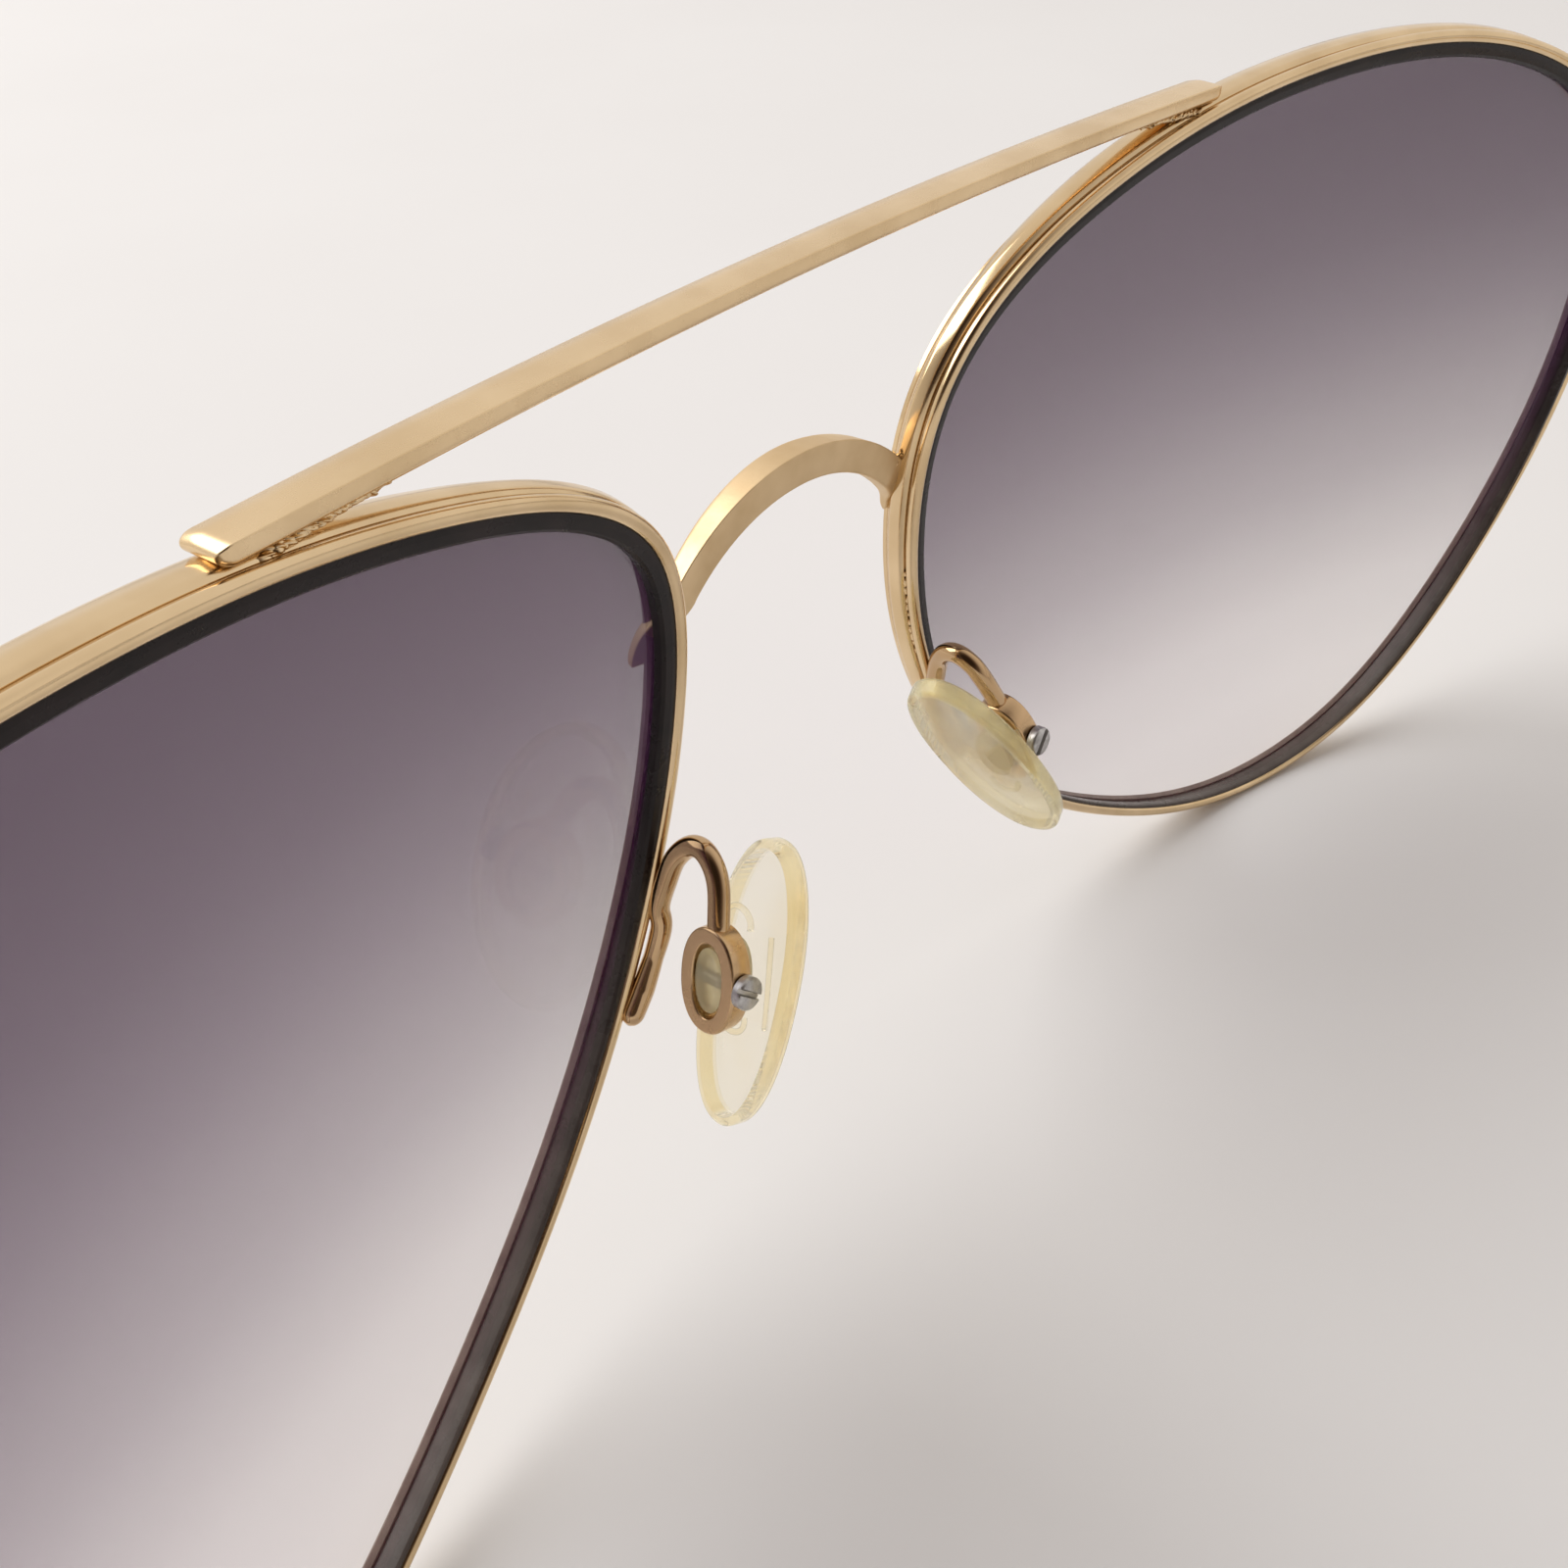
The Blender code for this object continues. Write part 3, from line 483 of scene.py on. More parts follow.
def black_plastic(name):
    """Liner plastic: black over the brow, smoky grey-brown along the lower rim."""
    m = Mat(name)
    tone = m.noise(420.0, 5.0, 0.6)
    black = m.ramp(tone, [(0.3, (0.006, 0.004, 0.004)), (0.7, (0.020, 0.013, 0.013))])
    smoke = m.ramp(tone, [(0.3, (0.075, 0.060, 0.052)), (0.7, (0.125, 0.103, 0.090))])
    blend = m.node("ShaderNodeMix", data_type="RGBA")
    m.link(m.rise(Z0 - 19.0, Z0 + 3.0), blend.inputs["Factor"])
    m.link(smoke, blend.inputs[6])
    m.link(black, blend.inputs[7])
    m.link(blend.outputs[2], m.shader.inputs["Base Color"])
    m.link(m.spread(m.noise(700.0, 4.0, 0.6), 0.22, 0.36), m.shader.inputs["Roughness"])
    m.set(Specular_IOR_Level=0.22)
    m.bump(m.noise(1800.0, 3.0), 0.05, 0.00002)
    return m.mat


def strip_shade_finish(name):
    """Brown strip behind the lens edge, painted shade: it stands for the channel's gold in shadow, seen
    through the lens.
    """
    m = Mat(name)
    tone = m.noise(500.0, 5.0, 0.65)
    m.link(m.ramp(tone, [(0.3, (0.19, 0.145, 0.12)), (0.7, (0.33, 0.265, 0.22))]),
           m.shader.inputs["Base Color"])
    m.link(m.spread(m.noise(900.0, 4.0, 0.6), 0.3, 0.5), m.shader.inputs["Roughness"])
    return m.mat


def lens_tint(name):
    """Purple-grey tint, dense at the top and nearly clear at the bottom."""
    half = LENS_H / 2 + 0.5
    m = Mat(name)
    m.set(Roughness=0.02, IOR=1.5)
    wander = m.node("ShaderNodeMath", operation="MULTIPLY_ADD")
    m.link(m.noise(38.0, 2.0), wander.inputs[0])
    wander.inputs[1].default_value = 0.02
    m.link(m.rise(Z0 - half, Z0 + half), wander.inputs[2])
    fac = wander.outputs[0]
    dense = [(0.14, 0.10), (0.26, 0.145), (0.38, 0.255), (0.45, 0.33), (0.54, 0.405), (0.66, 0.527),
             (0.78, 0.64), (0.86, 0.695), (0.94, 0.746)]
    m.link(m.ramp(fac, [(at, (v, v, v)) for at, v in dense]), m.shader.inputs["Alpha"])
    hue = [(0.10, (0.27, 0.05, 0.10)), (0.40, (0.18, 0.047, 0.15)), (0.65, (0.142, 0.044, 0.148)),
           (0.92, (0.130, 0.064, 0.136))]
    m.link(m.ramp(fac, hue), m.shader.inputs["Base Color"])
    return m.mat


def pad_plastic(name, tint, solid, clear=1.0):
    """Clear moulded plastic, yellowed with age; solid is its alpha and clear its transmission."""
    m = Mat(name)
    m.set(Transmission_Weight=clear, IOR=1.13, Coat_Weight=0.7, Coat_Roughness=0.05)
    age = m.noise(170.0, 3.0, 0.5)
    amber = (tint[0] * 0.96, tint[1] * 0.91, tint[2] * 0.80)
    m.link(m.ramp(age, [(0.38, tint), (0.64, amber)]), m.shader.inputs["Base Color"])
    m.link(m.spread(m.noise(240.0, 3.0), solid * 0.85, min(1.0, solid * 1.2)), m.shader.inputs["Alpha"])
    m.link(m.spread(m.noise(420.0, 4.0), 0.05, 0.30), m.shader.inputs["Roughness"])
    m.bump(m.noise(420.0, 3.0), 0.12, 0.00005)
    return m.mat


def steel(name):
    """Worn screw steel."""
    m = Mat(name)
    m.set(Metallic=1.0)
    tone = m.noise(1500.0, 5.0, 0.7)
    m.link(m.ramp(tone, [(0.3, (0.30, 0.29, 0.28)), (0.7, (0.68, 0.67, 0.66))]),
           m.shader.inputs["Base Color"])
    m.link(m.spread(m.noise(2400.0, 4.0, 0.7), 0.22, 0.5), m.shader.inputs["Roughness"])
    m.bump(m.noise(3000.0, 4.0, 0.7), 0.25, 0.00003)
    return m.mat


def tortoise(name):
    """Dark acetate with faint brown mottling."""
    m = Mat(name)
    cloud = m.noise(95.0, 4.0, 0.6, (1.0, 0.6, 1.0))
    m.link(m.ramp(cloud, [(0.40, (0.010, 0.007, 0.006)), (0.56, (0.045, 0.018, 0.008)),
                          (0.68, (0.20, 0.075, 0.02))]), m.shader.inputs["Base Color"])
    m.set(IOR=1.5, Coat_Weight=0.6, Coat_Roughness=0.04)
    m.link(m.spread(m.noise(300.0, 3.0), 0.10, 0.2), m.shader.inputs["Roughness"])
    return m.mat


SATIN = gold("gold_satin", (0.22, 0.31), 0.96, 0.10)
RIM = gold("gold_rim", (0.11, 0.20), 0.91, 0.05)
ARCH = gold("gold_arch", (0.44, 0.56), 0.88, 0.50, 3000.0)
SEAM = gold("gold_seam", (0.16, 0.28), 0.90, 0.15)
BOXES = gold("gold_box", (0.16, 0.30), 0.78, 0.55, 1500.0, 0.18)
# arm wire: the same gold made darker and redder, painted shade and painted dark reflection
SHADED_WIRE = gold("gold_wire_painted_shade", (0.06, 0.14), 0.66, 0.04, 2600.0, 0.20)
BLACK = black_plastic("liner_black")
# brown strip of painted shade in the channel behind the lens edge
SHADE_BROWN = strip_shade_finish("shaded_strip_brown")
LENS = lens_tint("lens_gradient")
STEEL = steel("screw_steel")
TIP = tortoise("tip_acetate")

# tint, alpha and transmission of the pads; the right pad is milkier
PAD_TINT = {"L": ((1.0, 0.955, 0.80), 0.66), "R": ((1.0, 0.95, 0.72), 0.72, 0.80)}
EDGE_TINT = {"L": ((0.98, 0.88, 0.60), 0.85), "R": ((1.0, 0.95, 0.66), 0.80, 0.84)}
STEM_TINT = ((0.86, 0.77, 0.48), 0.90, 0.45)

# bodies that the left and right pieces ride on
FRONT = ("front", "front")
TEMPLES = ("temple_left", "temple_right")


# ---------------------------------------------------------------- rims, liners, lenses
def ring_of(i, section):
    """A (outward, back) section set at one station of the rim."""
    return [rim_point(i, n, b) for n, b in section]


def make_eyewires():
    """Channel wire: crowned back lip with rounded edges, wall, and thin front lip."""
    lip = [(0.02, -0.10), (0.05, 0.0), (0.16, 0.085), (0.32, 0.12), (0.48, 0.085), (0.59, 0.0),
           (LIP_W, -0.12), (LIP_W - 0.04, -LIP_T)]
    section = np.vstack([spline(lip, 22), filleted([
        (WALL_N, -0.42, 0.05), (WALL_N, -WIRE_D, 0.12), (0.0, -WIRE_D, 0.10),
        (0.0, -WIRE_D + 0.25, 0.04), (0.20, -WIRE_D + 0.27, 0.02), (0.20, -LIP_T - 0.02, 0.02),
        (0.0, -LIP_T, 0.03),
    ])])
    verts, faces = skin([ring_of(i, section) for i in range(RIM_STEPS)], True)
    both_sides("eyewire", verts, faces, FRONT, RIM, 50.0)


def liner_reach(i):
    """Inward width of the liner: full over the brow, slim along the lower rim."""
    z = LOOP[i % RIM_STEPS, 1]
    t = min(1.0, max(0.0, (z + 12.0) / 18.0))
    return LINER_SLIM + (LINER_W - LINER_SLIM) * t * t * (3 - 2 * t)


def make_liners():
    """Plastic liner: a thin flange over the back edge of the lens and a skirt round its edge."""
    rings = []
    for i in range(RIM_STEPS):
        w = liner_reach(i)
        rings.append(ring_of(i, filleted([
            (0.02, -0.06, 0.02), (-0.3 * w, -0.05, 0.03), (-0.8 * w, -0.08, 0.04), (-w, -0.22, 0.05),
            (-w, -LENS_SET, 0.02), (0.11, -LENS_SET, 0.02), (0.11, -LENS_SET - LENS_T, 0.02),
            (0.19, -LENS_SET - LENS_T, 0.02), (0.19, -LIP_T - 0.05, 0.02), (0.02, -LIP_T - 0.05, 0.02),
        ])))
    verts, faces = skin(rings, True)
    both_sides("rim_liner", verts, faces, FRONT, BLACK, 50.0)


def make_shaded_strips():
    """Dark strip between the lens edge and the channel, seen through the lens: painted shade in place of
    the channel's gold in shadow.
    """
    section = filleted([(0.15, -LENS_SET - LENS_T, 0.02), (-0.02, -LENS_SET - LENS_T, 0.02),
                        (-0.16, -WIRE_D + 0.10, 0.05), (-0.14, -WIRE_D + 0.02, 0.03),
                        (0.18, -WIRE_D + 0.02, 0.02)])
    verts, faces = skin([ring_of(i, section) for i in range(RIM_STEPS)], True)
    both_sides("shaded_strip", verts, faces, FRONT, SHADE_BROWN, 50.0, "black_liner")


def make_lenses():
    """Shell on the base curve with a bevelled edge, in rings about the lens centre."""
    rings, stations = 26, 160
    back, face, bevel = LENS_SET, LENS_SET + LENS_T, 0.12
    edge = LOOP + 0.08 * NORMAL
    pick = np.arange(stations) * RIM_STEPS // stations
    scales = [k / rings for k in range(1, rings + 1)]
    order = [(scale, back) for scale in scales]
    order += [(1.004, back + bevel), (1.004, face - bevel)]
    order += [(scale, face) for scale in scales[::-1]]
    verts, faces = [], []
    for scale, depth in order:
        for i in pick:
            x, z = CX + edge[i, 0] * scale, edge[i, 1] * scale
            verts.append((x, base_y(x, z) - depth, z))
    count = len(order)
    for r in range(count - 1):
        for j in range(stations):
            k = (j + 1) % stations
            a, b = r * stations, (r + 1) * stations
            faces.append((a + j, a + k, b + k, b + j))
    for row, depth in ((0, back), (count - 1, face)):
        verts.append((CX, base_y(CX, 0.0) - depth, 0.0))
        hub = len(verts) - 1
        for j in range(stations):
            faces.append((hub, row * stations + j, row * stations + (j + 1) % stations))
    both_sides("lens", verts, faces, FRONT, LENS, 35.0)


BAND_FROM = nearest_station(28.0, 14.4)
BAND_TO = nearest_station(-20.4, -7.6)


def band_depth(i):
    """Front reach of the outer band: deep over the brow, shallow beside the nose."""
    x, z = LOOP[i % RIM_STEPS]
    t = min(1.0, max(0.0, (-x - 12.0) / 13.0))
    return BAND_DEPTH - BAND_EASE * t * t * (3 - 2 * t)


def make_bands():
    """Half-round outer band with both ends drawn in to the rim."""
    count = BAND_TO - BAND_FROM
    root = WALL_N + 0.08
    rings = []
    for k in range(count + 1):
        i = BAND_FROM + k
        deep = band_depth(i)
        end = min(1.0, (count - k) / 9.0, (k + 3) / 6.0)
        crown = root + (BAND_N - root) * math.sqrt(max(0.0, 1 - (1 - end) ** 2))
        section = filleted([
            (WALL_N + 0.02, -0.50, 0.03), (0.50 + 0.16 * (crown - 0.5), -0.46, 0.06),
            (crown - 0.06, -0.62, 0.30), (crown + 0.02, -1.20, 1.2), (crown - 0.14, -deep + 0.40, 0.9),
            (0.36, -deep, 0.40), (0.02, -deep + 0.04, 0.10), (0.02, -WIRE_D - 0.03, 0.02),
            (WALL_N + 0.02, -WIRE_D - 0.03, 0.02),
        ])
        rings.append(ring_of(i, section))
    verts, faces = skin(rings)
    both_sides("rim_band", verts, faces, FRONT, RIM, 50.0)


# ---------------------------------------------------------------- brow bar and bridge
def make_bar():
    """Flat bar with a fine back edge, soft lower edges and domed ends."""
    at, inset = domed(0.35, 2 * BAR_HALF, 8)
    half, low, top = BAR_W / 2, -BAR_T / 2, BAR_T / 2
    rings = []
    for s, d in zip(at, inset):
        x = s - BAR_HALF
        slope = x / BAR_BOW
        y = BAR_BACK + x * x / (2 * BAR_BOW) - half
        section = filleted([
            (half - d, top - d, 0.06), (half - d, low + d, 0.28), (-half + d, low + d, 0.26),
            (-half + d, top - d - 0.16 * (1 - d / top), 0.34),
            (-0.25, top - d + 0.03 * (1 - d / top), 1.6),
        ], 6)
        rings.append([(x - a * slope, y + a, TOP_Z + BAR_TOP - BAR_T / 2 + c) for a, c in section])
    verts, faces = skin(rings)
    bar = mesh_piece("fine_brow_bar", verts, faces, "front", SATIN, 62.0)
    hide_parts("brow_bar")


def make_bridge():
    """Arch with a flat back face, thinner toward its ends, which lap the front of the rims."""
    half = []
    back = BRIDGE_Y + BRIDGE_D / 2
    for x in np.linspace(0.0, BRIDGE_SPAN, 24):
        z = BRIDGE_Z - BRIDGE_R + math.sqrt(BRIDGE_R ** 2 - x * x)
        deep = BRIDGE_D * (1 - 0.34 * (x / BRIDGE_SPAN) ** 1.5)
        half.append((x, back - deep / 2 - 0.010 * x, z, deep))
    half += [(7.60, -3.80, 11.45, 0.80), (8.10, -4.10, 10.75, 0.56), (8.36, -4.26, 10.1, 0.50),
             (8.50, -4.34, 9.5, 0.46)]
    half = np.array(half)
    right = half[:0:-1] * (-1, 1, 1, 1)
    line = spline(np.vstack([right, half]), 120)
    path, thick = line[:, :3], line[:, 3]
    along = directions(path)
    rings = []
    for k, (p, t, d) in enumerate(zip(path, along, thick)):
        end = min(k, len(path) - 1 - k)
        draw = 0.25 * (1 - math.sqrt(max(0.0, 1 - max(0.0, 1 - end / 4.0) ** 2)))
        up = np.array((-t[2], 0.0, t[0]))
        up /= np.linalg.norm(up)
        out = np.cross(t, up)
        h, w = BRIDGE_H / 2 - draw, d / 2 - draw * 0.6
        section = filleted([(h - 0.08, w, 0.40), (h, -w, 0.06), (-h, -w, 0.14), (-h, w, 0.22)], 6)
        rings.append([p + a * up + b * out for a, b in section])
    verts, faces = skin(rings)
    arch = mesh_piece("fine_bridge", verts, faces, "front", ARCH, 40.0)
    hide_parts("bridge")


def lump(centre, size, seed):
    """Small uneven bead of solder: a ball with waves of random phase and rate, turned half round."""
    bm = bmesh.new()
    bmesh.ops.create_icosphere(bm, subdivisions=4, radius=1.0)
    rng = np.random.default_rng(seed)
    phase = rng.uniform(0, 6.28, (5, 3))
    rate = rng.uniform(1.5, 5.0, (5, 3))
    verts = []
    for v in bm.verts:
        c = np.array(v.co)
        swell = 1.0 + 0.05 * sum(math.sin(float(rate[k] @ c * 1.6) + phase[k, 0]) for k in range(5))
        verts.append(np.array(centre) + c * (-1, -1, 1) * size * swell)
    faces = [tuple(v.index for v in f.verts) for f in bm.faces]
    bm.free()
    return verts, faces


def make_solder():
    """Beads where the bar and bridge join the rims, and specks in the seam beside the nose."""
    rng = np.random.default_rng(5)
    shapes = []
    for k, x in enumerate(np.linspace(21.0, 25.3, 26)):
        wide, deep, tall = rng.uniform((0.24, 0.16, 0.13), (0.46, 0.24, 0.21))
        z = TOP_Z + BAR_TOP - BAR_T - 0.03 - 0.07 * (x - 21.6)
        y = BAR_BACK + x * x / (2 * BAR_BOW) - 0.44 + rng.uniform(-0.06, 0.06)
        shapes.append(lump((x, y, z), (wide, deep, tall), 11 + k))
    shapes.append(lump((7.2, -3.45, 12.60), (0.42, 0.34, 0.42), 71))
    first = nearest_station(-24.9, 1.0)
    for k in range(11):
        wide, deep, tall = rng.uniform((0.08, 0.08, 0.14), (0.15, 0.14, 0.30))
        p = rim_point(first - k, rng.uniform(0.44, 0.52), rng.uniform(-0.44, -0.36))
        shapes.append(lump(p, (wide, deep, tall), 50 + k))
    verts, faces = joined(*shapes)
    both_sides("solder", verts, faces, FRONT, SEAM, 60.0, "gold")


# ---------------------------------------------------------------- nose pads
def make_arms():
    """Round wire from its soldered foot beside the rim, up and over to the pad box."""
    a = nearest_station(-22.5, -5.5)
    b = nearest_station(-21.3, -6.9)
    c = nearest_station(-23.6, -2.9)
    off = LIP_W + ARM_R
    top = Vector(BOX_C) + Vector(BOX_LONG).normalized() * (BOX_A + 0.05)
    pts = [rim_point(b, off - 0.26, 0.18), rim_point(a, off - 0.10, 0.30),
           rim_point(c, off - 0.10, 0.42),
           (10.34, -2.56, -1.9), (10.02, -2.27, -0.4), (9.72, -1.90, 0.9), (9.42, -1.28, 1.76),
           (9.36, -0.54, 2.00), (9.52, 0.22, 1.60), (9.82, 0.76, 0.78), tuple(top),
           tuple(top - Vector(BOX_LONG) * 0.35)]
    path = spline(pts, 110)
    radii = np.interp(np.arange(len(path)), (0, 14, 26, 34), (0.54, 0.56, 0.47, ARM_R))
    radii[:5] *= np.sqrt(1 - (1 - np.arange(5) / 5.0) ** 2 * 0.95)
    verts, faces = tube(path, radii, (1, 0, 0))
    both_sides("pad_arm", verts, faces, FRONT, SHADED_WIRE, 60.0)


BOX_FRAME = axes_frame(BOX_C, BOX_LONG, BOX_ACROSS)


def pivot_axis():
    """Axis of the pad screw, straight through the sides of the box toward the back."""
    axis = Vector(BOX_LONG).cross(Vector(BOX_ACROSS)).normalized()
    return axis if axis.y > 0 else -axis


def oval_ring(matrix, stations, a, b, profile, power=2.2):
    """Ring along an oval: profile gives (inset from the oval, height)."""
    rings = []
    for t in np.linspace(0, 2 * math.pi, stations, endpoint=False):
        rings.append([tuple(matrix @ Vector((*on_oval(a - inset, b - inset, t, power), height)))
                      for inset, height in profile])
    return skin(rings, True)


def make_boxes():
    """Oval pad box with rounded rims."""
    h = BOX_T / 2
    profile = filleted([(0.0, -h, 0.14), (BOX_WALL, -h, 0.09), (BOX_WALL, h, 0.09), (0.0, h, 0.14)])
    verts, faces = oval_ring(BOX_FRAME, 72, BOX_A, BOX_B, profile)
    both_sides("pad_box", verts, faces, FRONT, BOXES, 60.0)


def slotted_head(radius, seat, height, slot_w, slot_d, turn, matrix, shank, tail):
    """Turned screw: shank, and a head whose slot is two half discs with a floor between."""
    body = lathe([(0.001, tail), (shank - 0.08, tail), (shank, tail + 0.08), (shank, seat),
                  (radius - 0.05, seat), (radius, seat + 0.05), (radius, seat + height - slot_d),
                  (0.001, seat + height - slot_d)], matrix, 40)
    halves = []
    for side in (1, -1):
        outline = []
        reach = math.sqrt(radius ** 2 - (slot_w / 2) ** 2)
        start = math.atan2(slot_w / 2, reach)
        for t in np.linspace(start, math.pi - start, 25):
            outline.append((radius * math.cos(t), side * radius * math.sin(t)))
        low, high = seat + height - slot_d - 0.01, seat + height
        rows = []
        mid = np.mean(outline, axis=0)
        for z, shrink in ((low, 0.0), (high - 0.12, 0.0), (high - 0.04, 0.05), (high, 0.14)):
            row = []
            for p in outline:
                q = np.array(p) + (mid - np.array(p)) / np.linalg.norm(mid - np.array(p)) * shrink
                spin = Matrix.Rotation(turn, 4, "Z")
                row.append(tuple(matrix @ (spin @ Vector((q[0], q[1], z)))))
            rows.append(row)
        halves.append(skin(rows))
    return joined(body, *halves)


def make_pad_screws():
    """Slotted screw through the box, head to the back."""
    matrix = axes_frame(BOX_C, BOX_LONG, pivot_axis())
    seat = BOX_B + 0.02
    verts, faces = slotted_head(0.76, seat, 0.52, 0.20, 0.22, math.radians(62), matrix,
                                0.35, -(BOX_B + 0.15))
    both_sides("pad_screw", verts, faces, FRONT, STEEL, 35.0)


def pad_plate(matrix):
    """Flat-backed plate with a soft domed face."""
    steps = 14
    a, b = PAD_A - EDGE_W, PAD_B - EDGE_W
    face = [0.02 + 0.98 * k / steps for k in range(steps + 1)]
    rows = [(f, PAD_T / 2 - 0.10 * (1 - f ** 4)) for f in face]
    rows += [(f, -PAD_T / 2 - 0.30 * (1 - f * f)) for f in face[::-1]]
    return skin([[tuple(matrix @ Vector((x, y, height))) for x, y in oval(a * f, b * f, 84)]
                 for f, height in rows])


def pad_edge(matrix):
    """Thick rolled edge around the plate."""
    h = PAD_T / 2
    profile = filleted([(0.0, -h, 0.42), (EDGE_W, -h, 0.02), (EDGE_W, h, 0.02), (0.0, h, 0.42)], 6)
    return oval_ring(matrix, 96, PAD_A, PAD_B, profile)


def pad_stem():
    """Moulded block that fills the box and joins the back of the pad."""
    rows = []
    a, b = BOX_A - BOX_WALL - 0.25, BOX_B - BOX_WALL - 0.04
    for height, grow in ((0.42, -0.36), (0.49, -0.22), (0.43, 0.0), (-0.9, 0.0), (-1.35, 0.1)):
        pts = oval(a + grow, b + grow, 40)
        rows.append([tuple(BOX_FRAME @ Vector((x, y, height))) for x, y in pts])
    return skin(rows)


def pad_loops():
    """Raised loops and rib moulded on the back of the pad, beside the box."""
    shapes = []
    for end in (1, -1):
        loop = []
        for t in np.linspace(-0.2, math.pi + 0.2, 20):
            local = Vector((end * (BOX_A - 0.20 + 0.75 * math.sin(t)), 0.75 * math.cos(t), -1.24))
            loop.append(tuple(BOX_FRAME @ local))
        shapes.append(tube(np.array(loop), 0.15, (1, 0, 0), 12))
    rib = [tuple(BOX_FRAME @ Vector((x, -1.95, -1.26))) for x in np.linspace(-2.2, 2.2, 12)]
    shapes.append(tube(np.array(rib), 0.13, (0, 0, 1), 12))
    return joined(*shapes)


def make_pads():
    """Oval pad with a flat back and soft face, its thick rolled edge, and a stem in the box."""
    for tag, (centre, across, long_axis, side) in PADS.items():
        matrix = axes_frame(centre, long_axis, across)
        body = "pad_left" if side > 0 else "pad_right"
        for name, finish, tint, (verts, faces) in (
                ("nose_pad", "pad_clear_", PAD_TINT[tag], joined(pad_plate(matrix), pad_loops())),
                ("pad_edge", "pad_edge_", EDGE_TINT[tag], pad_edge(matrix)),
                ("pad_stem", "pad_stem_", STEM_TINT, pad_stem())):
            mat = pad_plastic(finish + tag, *tint)
            pts = np.asarray(verts) * (side, 1, 1)
            piece = mesh_piece("fine_%s_%s" % (name, tag), pts, faces, body, mat, 50.0)
            if name == "nose_pad":
                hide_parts("nose_pad_" + tag)


# ---------------------------------------------------------------- hinges and temples
LEAF_X = PIN_X + PIN_INSET                     # outer face of the hinge leaves
TEMPLE_X = LEAF_X + FIT + TEMPLE_T / 2         # middle of the temple
LOCK_X = TEMPLE_X - TEMPLE_OUT + LIP_W + 1.35  # centre of the closing block
HINGE_BACK = PIN_Y - 0.7                       # back end of the end piece
LOCK_Y = HINGE_BACK - 4.9
LOCK_Z = HINGE_Z - 0.6
HINGE_LOW = HINGE_Z - HINGE_H / 2
TEMPLE_FRONT = HINGE_BACK + 0.12


def soft_block(size, centre, radius=0.15, lean=0.0, grooves=()):
    """Upright block with rounded edges; grooves are heights with a narrow cut all round."""
    a, b, h = (v / 2 for v in size)
    levels = [(-h, radius), (-h + radius * 0.3, radius * 0.3), (-h + radius, 0.0)]
    for g in sorted(grooves):
        levels += [(g - 0.10, 0.0), (g - 0.06, 0.16), (g + 0.06, 0.16), (g + 0.10, 0.0)]
    levels += [(h - radius, 0.0), (h - radius * 0.3, radius * 0.3), (h, radius)]
    c, s = math.cos(lean), math.sin(lean)
    rings = []
    for z, inset in levels:
        x, y = a - inset, b - inset
        outline = filleted([(x, y, radius), (-x, y, radius), (-x, -y, radius), (x, -y, radius)], 5)
        rings.append([(centre[0] + p * c - q * s, centre[1] + p * s + q * c, centre[2] + z)
                      for p, q in outline])
    return skin(rings)


def make_locks():
    """Split closing block beside the rim, with the screw that closes it from below."""
    verts, faces = soft_block((3.2, 2.9, 4.4), (LOCK_X, LOCK_Y, LOCK_Z), 0.28, math.radians(18.0),
                              (-1.72,))
    both_sides("rim_lock", verts, faces, FRONT, SATIN, 50.0)
    flip = Matrix.Translation(Vector((LOCK_X + 0.55, LOCK_Y + 0.1, HINGE_Z - 2.3))) \
        @ Matrix.Rotation(math.pi, 4, "X")
    verts, faces = slotted_head(0.80, 0.0, 0.52, 0.20, 0.2, math.radians(25), flip, PIN_R, -3.0)
    both_sides("rim_screw", verts, faces, FRONT, STEEL, 35.0)


def strip_section(half_w, half_h, radius=0.16):
    """Upright strip with rounded edges."""
    return filleted([(half_w, half_h, radius), (half_w, -half_h, radius), (-half_w, -half_h, radius),
                     (-half_w, half_h, radius)], 5)


def upright_sweep(path, sections):
    """Sections (across, height) along a path that lies level."""
    along = directions(np.asarray(path, float) * (1, 1, 0))
    rings = []
    for p, t, section in zip(path, along, sections):
        out = np.array((t[1], -t[0], 0.0))
        rings.append([np.array(p) + a * out + (0, 0, c) for a, c in section])
    return skin(rings)


def make_end_pieces():
    """Flat strip bent back from the closing block to the hinge."""
    face = LOCK_X + 1.9
    path = spline([(face - 0.75, LOCK_Y - 0.35, HINGE_Z), (face + 0.4, LOCK_Y + 0.05, HINGE_Z),
                   (face + 1.45, LOCK_Y + 0.62, HINGE_Z), (TEMPLE_X - 0.55, LOCK_Y + 1.5, HINGE_Z),
                   (TEMPLE_X, LOCK_Y + 2.8, HINGE_Z), (TEMPLE_X, LOCK_Y + 3.9, HINGE_Z),
                   (TEMPLE_X, HINGE_BACK, HINGE_Z)], 60)
    sections = []
    for k in range(60):
        end = 0.10 * max(0.0, 1 - min(k, 59 - k) / 1.5)
        sections.append(strip_section(TEMPLE_T / 2 - end, HINGE_H / 2 - end))
    verts, faces = upright_sweep(path, sections)
    both_sides("end_piece", verts, faces, FRONT, SATIN, 40.0)


def knuckle(low, high):
    """Turned barrel round the pin, with softened rims."""
    bore, r = PIN_R + 0.04, KNUCKLE_R
    profile = [(bore, low), (r - 0.12, low), (r - 0.03, low + 0.04), (r, low + 0.12),
               (r, high - 0.12), (r - 0.03, high - 0.04), (r - 0.12, high), (bore, high)]
    rings = []
    for t in np.linspace(0, 2 * math.pi, 40, endpoint=False):
        rings.append([(PIN_X + q * math.cos(t), PIN_Y + q * math.sin(t), z) for q, z in profile])
    return skin(rings, True)


